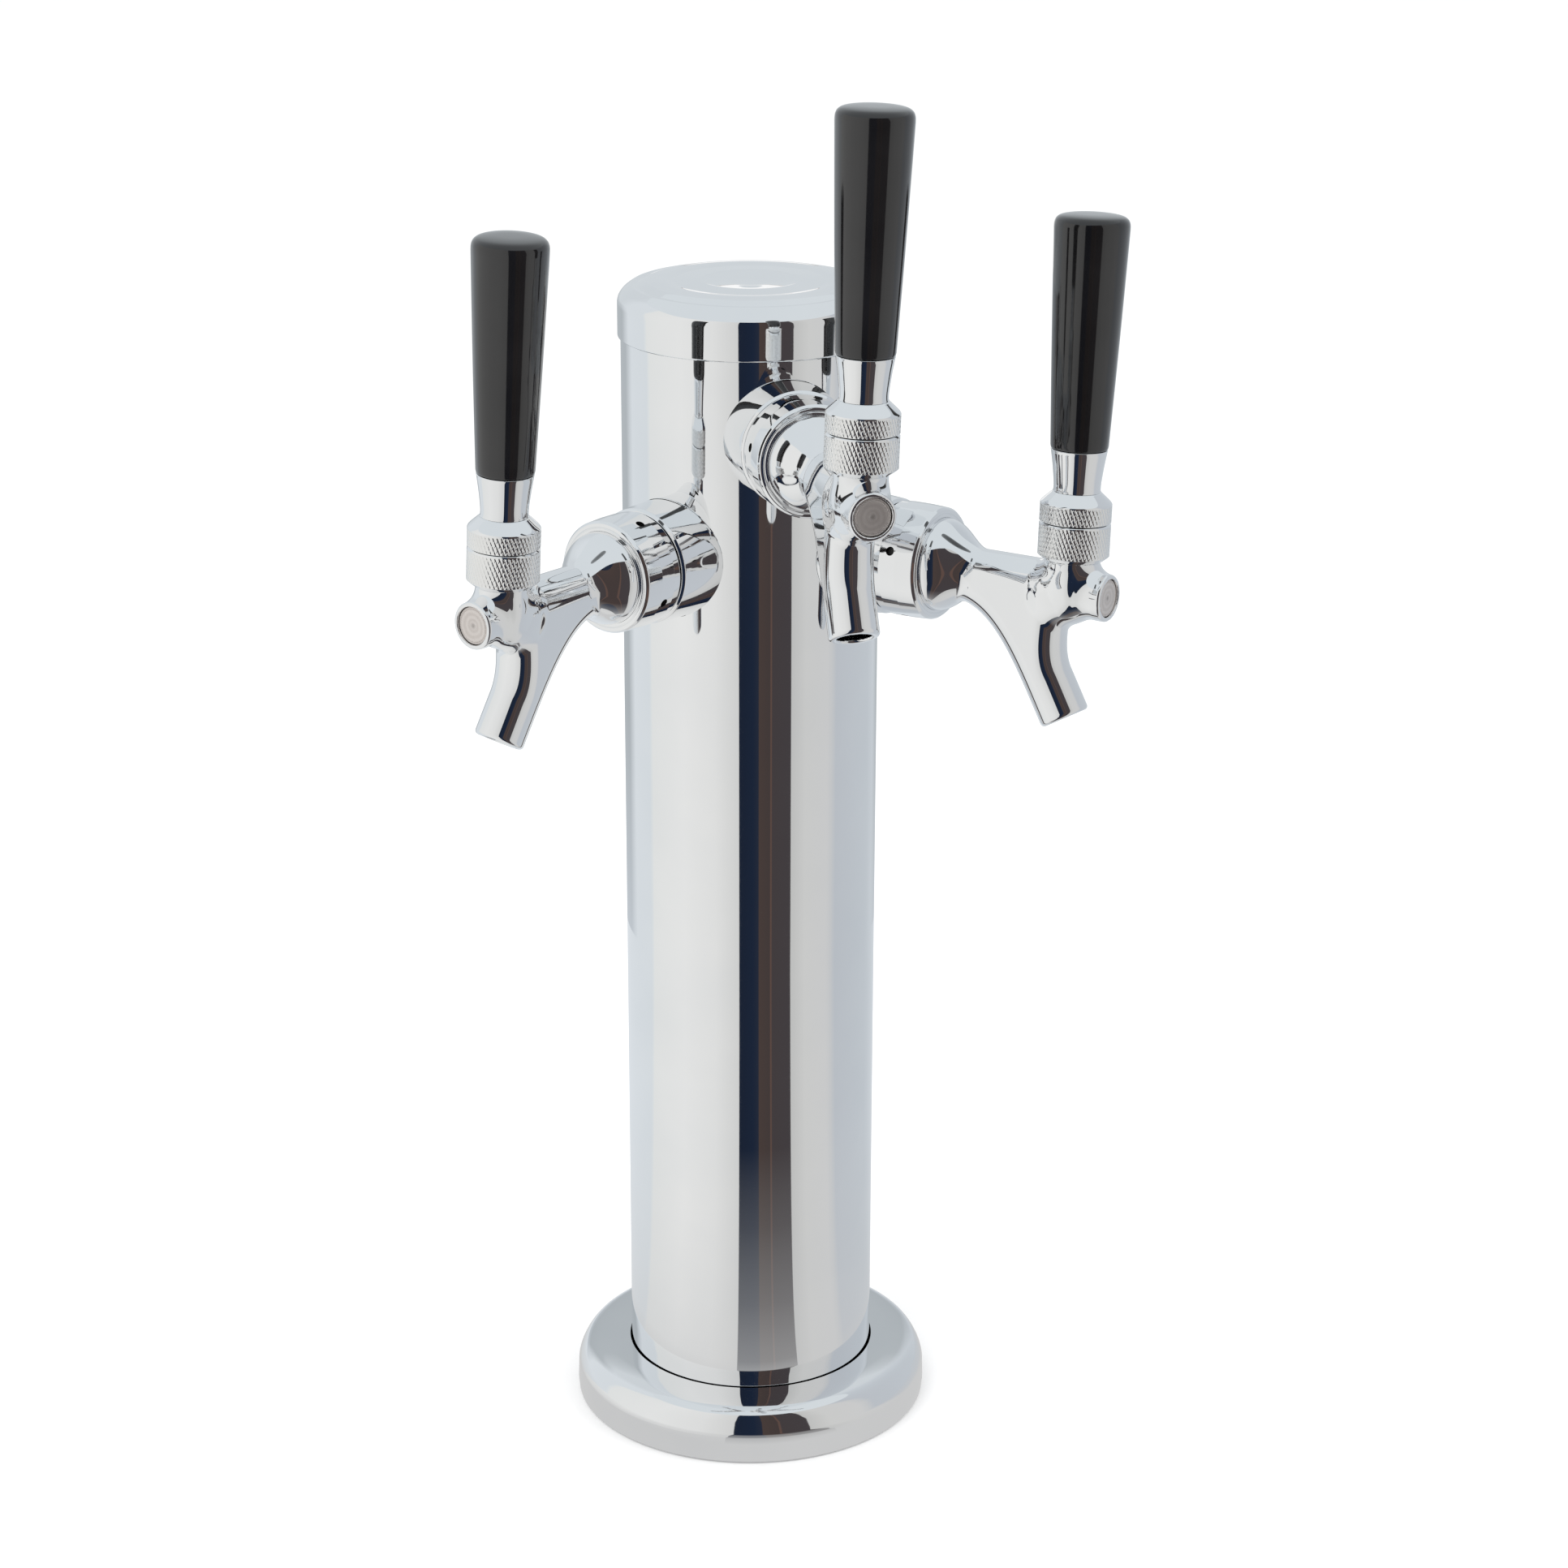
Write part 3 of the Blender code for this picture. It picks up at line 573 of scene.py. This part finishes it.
SPOUT_HALF = 7.2
WEB_HALF = 7.05
TIP = np.array([108.7, -38.7])
SLANT = math.radians(30.0)
DOWN = np.array([math.sin(SLANT), -math.cos(SLANT)])
TAIL_START, TAIL_LENGTH = 66.2, 13.8
TAIL_RADIUS, TAIL_DROP = 13.52, 7.12
WAY_RADIUS = 4.9
LONGEST_MOVE = 0.3


def soft_step(value):
    value = np.clip(value, 0.0, 1.0)
    return value * value * (3.0 - 2.0 * value)


def union(a, b, radius):
    """Two solids joined with a fillet of that radius."""
    u, v = np.maximum(radius - a, 0.0), np.maximum(radius - b, 0.0)
    return np.maximum(radius, np.minimum(a, b)) - np.sqrt(u * u + v * v)


def common(a, b, radius):
    """What two solids share, with its edge rounded to that radius."""
    return -union(-a, -b, radius)


def bezier(corners, t):
    """Points at t on a cubic curve through the first and last of four corners."""
    blend = [(1 - t) ** 3, 3 * (1 - t) ** 2 * t, 3 * (1 - t) * t**2, t**3]
    return sum(w * np.array(p) for w, p in zip(blend, corners))


def spout_points(start, end, steps):
    """The spout's centre line and its forward normal, in the faucet's XZ plane."""
    corners = [np.array([74.0, -2.0]), np.array([90.0, -4.0]), TIP - 21.0 * DOWN, TIP]
    t = np.linspace(start, end, steps)[:, None]
    slopes = [3 * (1 - t) ** 2, 6 * (1 - t) * t, 3 * t**2]
    along = sum(w * (corners[i + 1] - corners[i]) for i, w in enumerate(slopes))
    along /= np.linalg.norm(along, axis=1)[:, None]
    return bezier(corners, t), np.stack([-along[:, 1], along[:, 0]], axis=1)


def web_outline():
    """The outline, seen from the side, of the flat-sided casting from barrel to spout."""
    line, forward = spout_points(0.0, 1.0, 160)
    back = line - SPOUT_HALF * forward
    line, forward = spout_points(1.0, 0.80, 40)
    front = line + SPOUT_HALF * forward
    top = front[-1]
    slope = (front[-1] - front[-2]) / np.linalg.norm(front[-1] - front[-2])
    ends = [top, top + 6.0 * slope, (107.2, -12.0), (REACH, -3.0)]
    rise = bezier(ends, np.linspace(0.0, 1.0, 60)[1:, None])
    beyond = [back[-1] + 16.0 * DOWN, front[0] + 16.0 * DOWN]
    crown = [(REACH, 4.0), (72.0, 4.0)]
    return np.vstack([back, beyond, front, rise, crown])


def outline_distance(x, z, outline):
    """Signed distance to a closed outline, negative inside."""
    inside = np.zeros(np.broadcast(x, z).shape, bool)
    for (ax, az), (bx, bz) in zip(outline, np.roll(outline, -1, axis=0)):
        if abs(bz - az) > 1e-12:
            crosses = (az > z) != (bz > z)
            inside ^= crosses & (x < (bx - ax) * (z - az) / (bz - az) + ax)
    distance = line_distance(x, z, np.vstack([outline, outline[:1]]))
    return np.where(inside, -1.0, 1.0) * distance


def line_distance(x, z, line):
    """Distance to an open line in the faucet's XZ plane."""
    best = np.full(np.broadcast(x, z).shape, 1e9)
    for (ax, az), (bx, bz) in zip(line, line[1:]):
        ex, ez = bx - ax, bz - az
        t = np.clip(((x - ax) * ex + (z - az) * ez) / (ex * ex + ez * ez), 0.0, 1.0)
        best = np.minimum(best, (x - ax - t * ex) ** 2 + (z - az - t * ez) ** 2)
    return np.sqrt(best)


def tube(off, along, radius, start, end, edge=0.2):
    """A round bar: off is the distance from its axis."""
    return common(off - radius, np.maximum(start - along, along - end), edge)


OUTLINE = web_outline()
CENTRE_LINE, _ = spout_points(0.0, 1.0, 60)
RAISED = CENTRE_LINE + np.array([0.0, 0.6]) * np.linspace(1, 0, 60)[:, None]
WAY = np.vstack([RAISED, TIP + 4.0 * DOWN])  # the beer's way through the spout
# The neck leans back and narrows as it goes down, so that it runs into the spout without a ledge.
NECK_LINE = np.array([(REACH, 12.0), (REACH, -1.0), (106.4, -4.5)])


def body_field(x, y, z):
    """Below zero inside the cast faucet body. x is out from the column and z is up."""
    off_x = np.hypot(y, z)
    share = np.clip((x - TAIL_START) / TAIL_LENGTH, 0.0, 1.0)
    radius = TAIL_RADIUS - TAIL_DROP * soft_step(share)
    slope = -TAIL_DROP * 6.0 * share * (1.0 - share) / TAIL_LENGTH
    tail = (off_x - radius) / np.sqrt(1.0 + slope * slope)
    tail = common(tail, np.maximum(61.9 - x, x - 110.0), 0.3)
    tail = union(tail, tube(off_x, x, 14.3, 61.9, 63.2), 0.2)

    web = common(outline_distance(x, z, OUTLINE), np.abs(y) - WEB_HALF, WEB_HALF - 0.05)
    casting = union(tail, web, 1.4)

    off_neck = np.hypot(x - REACH, y)
    neck = np.hypot(line_distance(x, z, NECK_LINE), y) - (7.6 - 0.5 * soft_step((2.0 - z) / 7.0))
    neck = common(neck, z - 7.7, 0.4)
    casting = union(casting, neck, 3.0)

    off_boss = np.hypot(y, z + BOSS_DROP)
    boss_radius = 6.2 + 0.55 * soft_step((x - 113.5) / 4.5)
    boss = common(off_boss - boss_radius, np.maximum(101.0 - x, x - 120.5), 0.85)
    casting = union(casting, boss, 4.5)

    tip = (x - TIP[0]) * DOWN[0] + (z - TIP[1]) * DOWN[1]
    casting = common(casting, tip, 1.1)
    spigot = tube(off_neck, z, 7.2, 0.0, 11.9, 0.3)
    casting = np.minimum(casting, spigot)

    way = np.hypot(line_distance(x, z, WAY), y) - WAY_RADIUS
    casting = common(casting, -way, 0.6)
    casting = common(casting, -tube(off_boss, x, 5.45, 118.3, 125.0, 0.1), 0.3)
    hollows = [
        tube(off_x, x, 9.0, 58.0, 69.2, 0.3),
        tube(off_x, x, 4.0, 68.0, 75.2, 0.2),
        tube(off_x, x, 3.45, 70.0, 119.0, 0.2),
        tube(off_neck, z, 6.3, 4.7, 20.0, 0.2),
        tube(off_neck, z, 4.5, 0.0, 5.0, 0.2),
    ]
    for hollow in hollows:
        casting = common(casting, -hollow, 0.2)
    slot = np.maximum(np.maximum(x - REACH, REACH - 7.2 - x), np.abs(y) - 2.1)
    slot = np.maximum(slot, np.maximum(0.4 - z, z - 5.0))
    return np.maximum(casting, -slot)


def skin(field, low, high, pitch):
    """Vertices and quads where field is zero, one vertex for each grid cell it crosses."""
    counts = [int(math.ceil((b - a) / pitch)) + 1 for a, b in zip(low, high)]
    x, y, z = [a + pitch * np.arange(n) for a, n in zip(low, counts)]
    values = field(x[:, None, None], y[None, :, None], z[None, None, :])
    values = np.broadcast_to(values, counts)
    inside = values < 0.0
    cells = tuple(n - 1 for n in counts)
    total = np.zeros(cells, np.int8)
    offsets = [(a, b, c) for a in (0, 1) for b in (0, 1) for c in (0, 1)]
    for a, b, c in offsets:
        total += inside[a : a + cells[0], b : b + cells[1], c : c + cells[2]]
    active = (total > 0) & (total < 8)
    number = np.full(cells, -1, np.int64)
    where = np.argwhere(active)
    number[active] = np.arange(len(where))
    sums, hits = np.zeros((len(where), 3)), np.zeros(len(where))
    for one in offsets:
        for axis in range(3):
            if one[axis]:
                continue
            other = list(one)
            other[axis] = 1
            a = values[tuple((where + one).T)]
            b = values[tuple((where + other).T)]
            crossing = (a < 0.0) != (b < 0.0)
            share = np.where(crossing, a / np.where(crossing, a - b, 1.0), 0.0)
            point = np.tile(np.array(one, float), (len(where), 1))
            point[:, axis] += share
            sums += np.where(crossing[:, None], point, 0.0)
            hits += crossing
    vertices = np.array(low) + pitch * (where + sums / hits[:, None])
    quads = []
    for axis in range(3):
        u, v = (axis + 1) % 3, (axis + 2) % 3
        first = [slice(None)] * 3
        second = [slice(None)] * 3
        first[axis], second[axis] = slice(0, -1), slice(1, None)
        a, b = inside[tuple(first)], inside[tuple(second)]
        places = np.argwhere(a != b)
        fits = (places[:, u] > 0) & (places[:, v] > 0)
        fits &= (places[:, u] < counts[u] - 1) & (places[:, v] < counts[v] - 1)
        places = places[fits]
        outward = a[tuple(places.T)]
        corners = []
        for du, dv in ((-1, -1), (0, -1), (0, 0), (-1, 0)):
            cell = places.copy()
            cell[:, u] += du
            cell[:, v] += dv
            corners.append(number[tuple(cell.T)])
        ring = np.stack(corners, axis=1)
        ring[~outward] = ring[~outward][:, ::-1]
        quads.append(ring)
    return vertices, np.vstack(quads)


def slopes_at(field, points, reach):
    """The field's value and slope at points."""
    x, y, z = points.T
    value = field(x, y, z)
    slope = np.stack(
        [
            field(x + reach, y, z) - field(x - reach, y, z),
            field(x, y + reach, z) - field(x, y - reach, z),
            field(x, y, z + reach) - field(x, y, z - reach),
        ],
        axis=1,
    ) / (2.0 * reach)
    return value, slope


def settled(field, vertices, quads, rounds):
    """Evens the quads out and puts every vertex exactly on the surface."""
    count = len(vertices)
    edges = np.vstack([quads[:, [0, 1]], quads[:, [1, 2]], quads[:, [2, 3]], quads[:, [3, 0]]])
    edges = np.vstack([edges, edges[:, ::-1]])
    degree = np.bincount(edges[:, 0], minlength=count)[:, None]
    for step in range(rounds + 2):
        if step < rounds:
            sums = [np.bincount(edges[:, 0], vertices[edges[:, 1], k], count) for k in range(3)]
            vertices = vertices + 0.5 * (np.stack(sums, axis=1) / degree - vertices)
        value, slope = slopes_at(field, vertices, 0.02)
        size = np.maximum((slope**2).sum(axis=1), 0.2)
        move = slope * (value / size)[:, None]
        length = np.linalg.norm(move, axis=1)[:, None]
        vertices = vertices - move * np.minimum(1.0, LONGEST_MOVE / np.maximum(length, 1e-9))
    return vertices


def body_mesh():
    pitch = 0.45
    low, high = (61.2, -15.03, -45.0), (121.6, 15.03, 15.03)
    vertices, quads = skin(body_field, low, high, pitch)
    vertices = settled(body_field, vertices, quads, 3)
    _, slope = slopes_at(body_field, vertices, 0.06)
    normals = slope / np.maximum(np.linalg.norm(slope, axis=1), 1e-9)[:, None]
    mesh = bpy.data.meshes.new("cast_body")
    mesh.from_pydata((vertices * MM).tolist(), [], quads.tolist())
    mesh.shade_smooth()
    mesh.normals_split_custom_set_from_vertices(normals.tolist())
    print("cast body", len(vertices), "vertices")
    return mesh


# --------------------------------------------------------------------------- handle

EDGE = 0.12  # how far a knurled ring's edge is broken
KNURL_DEPTH = 0.2
KNURL_LEAN = 0.45  # how far a groove goes round for each millimetre up
STEM_BORE = 3.9


def knurling(low, high):
    """Cuts two crossing sets of grooves into a round band, one deeper than the other."""

    def cut_in(radius, along, angles):
        if not low <= along <= high or radius < KNURL_RADIUS - 0.01:
            return level(radius, angles), level(along, angles)
        turns = angles * GROOVES / (2.0 * math.pi)
        climb = (along - low) * KNURL_LEAN * GROOVES / (2.0 * math.pi * KNURL_RADIUS)
        one = np.abs((turns + climb) % 1.0 - 0.5) * 2.0
        two = np.abs((turns - climb) % 1.0 - 0.5) * 2.0
        deep = 1.0 - np.minimum(one / 0.46, 1.0)
        light = 1.0 - np.minimum(two / 0.40, 1.0)
        groove = np.maximum(deep, 0.45 * light)
        edge = min(1.0, (along - low) / 0.15, (high - along) / 0.15)
        return radius - KNURL_DEPTH * max(edge, 0.0) * groove, level(along, angles)

    return cut_in


def band(low, high, pitch):
    """Evenly spaced points up a knurled band."""
    steps = max(2, int(round((high - low) / pitch)))
    return [(KNURL_RADIUS, low + (high - low) * step / steps) for step in range(steps + 1)]


def knurled(name, below, low, high, above):
    """A turned ring with a knurled band; below and above are its other, plain corners."""
    per_groove = 10
    profile = below + band(low, high, 0.13) + above
    shape = knurling(low, high)
    vertices, faces = rings(profile, GROOVES * per_groove, profile[0][0] > 1e-6, shape)
    mesh = finished(name, vertices, faces, 55.0)
    middles = np.array([p.center[:] for p in mesh.polygons]) / MM
    plain = (middles[:, 2] < low) | (middles[:, 2] > high)
    plain |= np.hypot(middles[:, 0], middles[:, 1]) < KNURL_RADIUS - 0.5
    mesh.polygons.foreach_set("material_index", plain.astype(np.int32))
    return mesh


def bonnet_mesh():
    """The knurled nut over the lever's ball."""
    ball = math.hypot(KNURL_RADIUS, BONNET_TOP - PIVOT)
    foot = [(7.5, 8.0), (8.7, 8.0, 0.2), (KNURL_RADIUS - 0.1, 9.1, 0.3), (KNURL_RADIUS, 9.3)]
    below = fillet(foot, False)
    top = cap_arc(ball, KNURL_RADIUS - EDGE, MOUTH)
    above = top + [(5.6, 14.9), (7.5, 14.9)]
    return knurled("bonnet", below[:-1], 9.2, 17.95, above)


def lever_collar_mesh():
    """The knurled ring under the handle, which rides over the bonnet's dome."""
    ball = math.hypot(KNURL_RADIUS, BONNET_TOP - PIVOT) + 0.35
    hollow = cap_arc(ball, STEM_BORE, KNURL_RADIUS - EDGE)
    shoulder = [(KNURL_RADIUS, 23.95), (10.0, 24.3), (9.4, 24.95), (8.2, 26.05), (7.2, 26.95)]
    cone = curve(shoulder, 4)
    cone.append((6.9, 27.3))
    start = hollow[-1][1] + 0.1
    above = [(KNURL_RADIUS, 23.9)] + [tuple(p) for p in cone] + [(STEM_BORE, 27.3)]
    return knurled("lever_collar", hollow, start, 23.8, above)


def ferrule_mesh():
    side = curve([(6.8, 27.4), (6.66, 28.0), (6.72, 30.0), (7.25, 34.5), (7.95, 38.9)], 5)
    top = [(8.12, 39.3, 0.25), (7.6, 39.45, 0.1), (STEM_BORE, 39.45)]
    outline = [(STEM_BORE, 27.4)] + [tuple(p) for p in side] + top
    return lathe("ferrule", outline, SMALL_ROUND)


def grip_mesh():
    side = curve([(8.2, 40.4), (9.3, 66.0), (10.1, 87.0), (10.6, 101.0)], 8)
    top = [(10.6, 101.0), (10.5, 102.5), (9.9, 103.7), (8.4, 104.5), (5.0, 104.9), (0.0, 104.98)]
    bore = [(0.0, 56.0), (STEM_BORE, 56.0, 0.2), (STEM_BORE, 39.5), (8.0, 39.5, 0.45)]
    outside = [tuple(p) for p in side + curve(top, 5)[1:]]
    return lathe("grip", bore + outside, SMALL_ROUND, steps=4)


def build_faucets():
    shared = {
        "collar": collar_mesh(),
        "body": body_mesh(),
        "disc": plug_mesh(),
        "bonnet": bonnet_mesh(),
        "lever_collar": lever_collar_mesh(),
        "ferrule": ferrule_mesh(),
        "grip": grip_mesh(),
    }
    shared["disc"].transform(Matrix.Translation((-DISC_CENTRE * MM, 0.0, 0.0)))
    for side in FAUCETS:
        square, faucet, neck = shank_frame(side), faucet_frame(side), neck_frame(side)
        shared["nut"] = nut_mesh(FAUCETS[side]["nut"])
        disc = faucet @ Matrix.Translation((DISC_CENTRE * MM, 0.0, -BOSS_DROP * MM))
        rows = [
            ("shank_collar_skin", "collar", square, "root", "chrome", "shank_collar"),
            ("coupling_nut_skin", "nut", faucet, "root", "chrome", "coupling_nut"),
            ("cast_body", "body", faucet, "root", "chrome", "faucet_body"),
            ("faced_disc", "disc", disc, "root", "turned_steel", "front_plug"),
            ("knurled_bonnet", "bonnet", neck, "root", "knurled_chrome", "bonnet"),
            ("knurled_collar", "lever_collar", neck, "handle", "knurled_chrome", "lever_collar"),
            ("ferrule_skin", "ferrule", neck, "handle", "chrome", "ferrule"),
            ("grip_skin", "grip", neck, "handle", "black_grip", "grip"),
        ]
        for name, mesh, matrix, body, slot, node in rows:
            carrier = body if body == "root" else f"{body}_{side}"
            put(f"{name}_{side}", shared[mesh], matrix, carrier, slot, f"{node}_{side}")


# --------------------------------------------------------------------------- kept CAD nodes

KEPT_SLOTS = {
    "base_plate": "zinc_plate",
    "base_gasket": "rubber",
    "insulation_sleeve": "foam",
    "shank": "plain_steel",
    "saddle_washer": "nylon",
    "lock_nut": "brass",
    "tail_elbow": "plain_steel",
    "coupling_washer": "rubber",
    "valve_shaft": "plain_steel",
    "shaft_seal": "rubber",
    "ball_seat": "nylon",
    "friction_washer": "rubber",
    "lever": "plain_steel",
}


def finish_kept_nodes():
    """Gives each CAD node that still shows the procedural material of its slot."""
    for name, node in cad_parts.items():
        if node.hide_render:
            continue
        kind = name
        for side in FAUCETS:
            kind = kind.removesuffix("_" + side)
        node.data.materials.clear()
        node.data.materials.append(MATERIALS[KEPT_SLOTS[kind]])


# --------------------------------------------------------------------------- stage


def glow(name):
    """A card that shines with its own painted colours."""
    material = bpy.data.materials.new(name)
    material.use_nodes = True
    tree = material.node_tree
    tree.nodes.clear()
    out = tree.nodes.new("ShaderNodeOutputMaterial")
    light = tree.nodes.new("ShaderNodeEmission")
    paint = tree.nodes.new("ShaderNodeVertexColor")
    paint.layer_name = "glow"
    tree.links.new(paint.outputs["Color"], light.inputs["Color"])
    tree.links.new(light.outputs["Emission"], out.inputs["Surface"])
    material.cycles.emission_sampling = "NONE"
    return material


def card(name, rows, colours):
    """A sheet from rows of points, with one colour for each quad between them.

    Only reflections see it: it is hidden from the camera and from soft light.
    """
    vertices = [p for row in rows for p in row]
    width = len(rows[0])
    faces, tints = [], []
    for r in range(len(rows) - 1):
        for c in range(width - 1):
            a = r * width + c
            faces.append((a, a + 1, a + 1 + width, a + width))
            tints += [colours(r, c), colours(r, c + 1), colours(r + 1, c + 1), colours(r + 1, c)]
    mesh = bpy.data.meshes.new(name)
    mesh.from_pydata(vertices, [], faces)
    layer = mesh.color_attributes.new("glow", "FLOAT_COLOR", "CORNER")
    layer.data.foreach_set("color", np.array([(*t, 1.0) for t in tints], float).ravel())
    mesh.materials.append(GLOW)
    sheet = bpy.data.objects.new(name, mesh)
    bpy.context.scene.collection.objects.link(sheet)
    sheet.visible_camera = False
    sheet.visible_diffuse = False
    sheet.visible_shadow = False
    sheet.visible_transmission = False
    sheet.visible_volume_scatter = False
    return sheet


GLOW = glow("studio_card")
CARD_RADIUS, WALL_TOP, ROOF = 0.42, 0.66, 1.2
SKY = (0.70, 0.745, 0.775)
PALE_FLOOR = 0.62
FLOOR_RADIUS = 12000.0

# What the chrome sees all round, as (direction from -Y towards +X in degrees, colour).
AROUND = [
    (-180.0, (0.74, 0.78, 0.82)),
    (-110.0, (0.72, 0.76, 0.79)),
    (-107.5, (0.76, 0.79, 0.80)),
    (-106.0, (0.80, 0.81, 0.80)),
    (-70.0, (0.84, 0.84, 0.83)),
    (-40.0, (0.79, 0.79, 0.78)),
    (-19.0, (0.68, 0.68, 0.67)),
    (-18.6, (0.012, 0.018, 0.035)),
    (-7.0, (0.012, 0.020, 0.042)),
    (-2.0, (0.020, 0.026, 0.045)),
    (-1.8, (0.070, 0.050, 0.045)),
    (8.0, (0.060, 0.046, 0.044)),
    (8.2, (0.115, 0.072, 0.060)),
    (9.4, (0.115, 0.072, 0.060)),
    (9.6, (0.060, 0.050, 0.052)),
    (26.2, (0.060, 0.052, 0.056)),
    (26.6, (0.56, 0.56, 0.55)),
    (40.0, (0.64, 0.64, 0.63)),
    (62.0, (0.64, 0.64, 0.64)),
    (67.0, (0.60, 0.61, 0.62)),
    (72.0, (0.53, 0.56, 0.60)),
    (120.0, (0.56, 0.60, 0.64)),
    (180.0, (0.74, 0.78, 0.82)),
]

# What it sees straight behind the tower, as (height in metres, colour).
BEHIND = [
    (0.0, (0.56, 0.60, 0.64)),
    (0.10, (0.44, 0.475, 0.50)),
    (0.27, (0.47, 0.505, 0.53)),
    (0.36, (0.66, 0.70, 0.73)),
    (WALL_TOP, (0.66, 0.70, 0.73)),
]


def colour_at(angle):
    stops = [a for a, _ in AROUND]
    return tuple(float(np.interp(angle, stops, [c[k] for _, c in AROUND])) for k in range(3))


def wall_angles():
    angles = set(np.arange(-180.0, 180.1, 3.0).tolist())
    for (a, _), (b, _) in zip(AROUND, AROUND[1:]):
        angles |= {a, b}
    return sorted(angles)


def build_cards():
    """What reflections see: a wall, a pale sky, white paper behind and a shaded floor."""
    angles = wall_angles()

    def at(angle, distance, height):
        a = math.radians(angle)
        return (
            COLUMN_X * MM + distance * math.sin(a),
            COLUMN_Y * MM - distance * math.cos(a),
            height,
        )

    wall = [[at(a, CARD_RADIUS, h) for a in angles] for h, _ in BEHIND]

    def wall_colour(r, c):
        back = min(1.0, max(0.0, (abs(angles[c]) - 135.0) / 15.0))
        pairs = zip(BEHIND[r][1], colour_at(angles[c]))
        return tuple(back * b + (1.0 - back) * k for b, k in pairs)

    card("wall_card", wall, wall_colour)
    white, brown = (0.98, 0.98, 0.98), (0.25, 0.19, 0.15)
    rows = ((0.28, white), (0.385, white), (0.388, brown))
    across = np.linspace(163.0, 179.0, 9)
    paper = [[at(a, 0.98 * CARD_RADIUS, h) for a in across] for h, _ in rows]
    card("paper_card", paper, lambda r, c: rows[r][1])
    upper = [[at(a, CARD_RADIUS, h) for a in angles] for h in (WALL_TOP, ROOF)]
    card("upper_card", upper, lambda r, c: SKY)
    roof = [
        [at(a, CARD_RADIUS, ROOF) for a in angles],
        [at(a, 0.001, ROOF + 0.15) for a in angles],
    ]
    card("roof_card", roof, lambda r, c: SKY)
    reaches = (0.03, 0.068, 0.076, 0.086, 0.126, 0.185, 0.25, CARD_RADIUS)
    paleness = (1.0, 1.0, 0.65, 0.42, 0.24, 0.09, 0.0, 0.0)
    ground = [[at(a, d, 0.0003) for a in angles] for d in reaches]

    def floor_colour(r, c):
        pale = paleness[r]
        return tuple(pale * PALE_FLOOR + (1.0 - pale) * k for k in colour_at(angles[c]))

    card("floor_card", ground, floor_colour)


def build_stage():
    floor_nodes = Nodes("pale_floor")
    grain = floor_nodes.noise(6.0, 3.0)
    floor_nodes.finish(
        floor_nodes.ramp(grain, (0.965, 0.966, 0.968), (0.972, 0.973, 0.975)),
        floor_nodes.spread(grain, 0.8, 0.9),
    )
    floor_nodes.shader.inputs["Specular IOR Level"].default_value = 0.0
    vertices, faces = rings([(0.0, 0.0), (FLOOR_RADIUS, 0.0)], 96, False)
    floor = bpy.data.objects.new("floor", finished("floor", vertices, faces))
    bpy.context.scene.collection.objects.link(floor)
    floor.data.materials.append(floor_nodes.material)
    floor.location.z = -0.0004

    world = bpy.data.worlds.new("soft_room")
    world.use_nodes = True
    world.node_tree.nodes["Background"].inputs["Color"].default_value = (1.0, 1.0, 1.0, 1.0)
    world.node_tree.nodes["Background"].inputs["Strength"].default_value = 1.03
    bpy.context.scene.world = world

    lamps = [
        ("key_light", (-0.9, -0.9, 1.5), 1.2, 9.0),
        ("fill_light", (1.1, -0.6, 1.3), 1.2, 6.0),
    ]
    for name, place, size, power in lamps:
        data = bpy.data.lights.new(name, "AREA")
        data.shape = "DISK"
        data.size = size
        data.energy = power
        lamp = bpy.data.objects.new(name, data)
        lamp.location = place
        aim = Vector((0.0, 0.0, 0.18)) - Vector(place)
        lamp.rotation_mode = "QUATERNION"
        lamp.rotation_quaternion = aim.to_track_quat("-Z", "Y")
        lamp.visible_glossy = False
        bpy.context.scene.collection.objects.link(lamp)


def build_camera():
    """The photograph's viewpoint, fitted to the column, cap and foot."""
    heading, pitch, roll = math.radians(9.407), math.radians(19.03), math.radians(0.174)
    level_part = math.cos(pitch)
    forward = Vector(
        (math.sin(heading) * level_part, math.cos(heading) * level_part, -math.sin(pitch))
    )
    across = Vector((math.cos(heading), -math.sin(heading), 0.0))
    above = across.cross(forward)
    right = math.cos(roll) * across + math.sin(roll) * above
    up = math.cos(roll) * above - math.sin(roll) * across
    data = bpy.data.cameras.new("photo_view")
    data.lens = 83.71
    data.sensor_width = 36.0
    data.clip_start = 0.05
    data.clip_end = 60.0
    camera = bpy.data.objects.new("photo_view", data)
    turn = Matrix((right, up, -forward)).transposed().to_4x4()
    camera.matrix_world = Matrix.Translation((-0.1625, -1.0070, 0.5659)) @ turn
    bpy.context.scene.collection.objects.link(camera)
    bpy.context.scene.camera = camera


bpy.context.scene.view_settings.view_transform = "Standard"
build_camera()
build_stage()
build_cards()
build_tower()
build_faucets()
finish_kept_nodes()
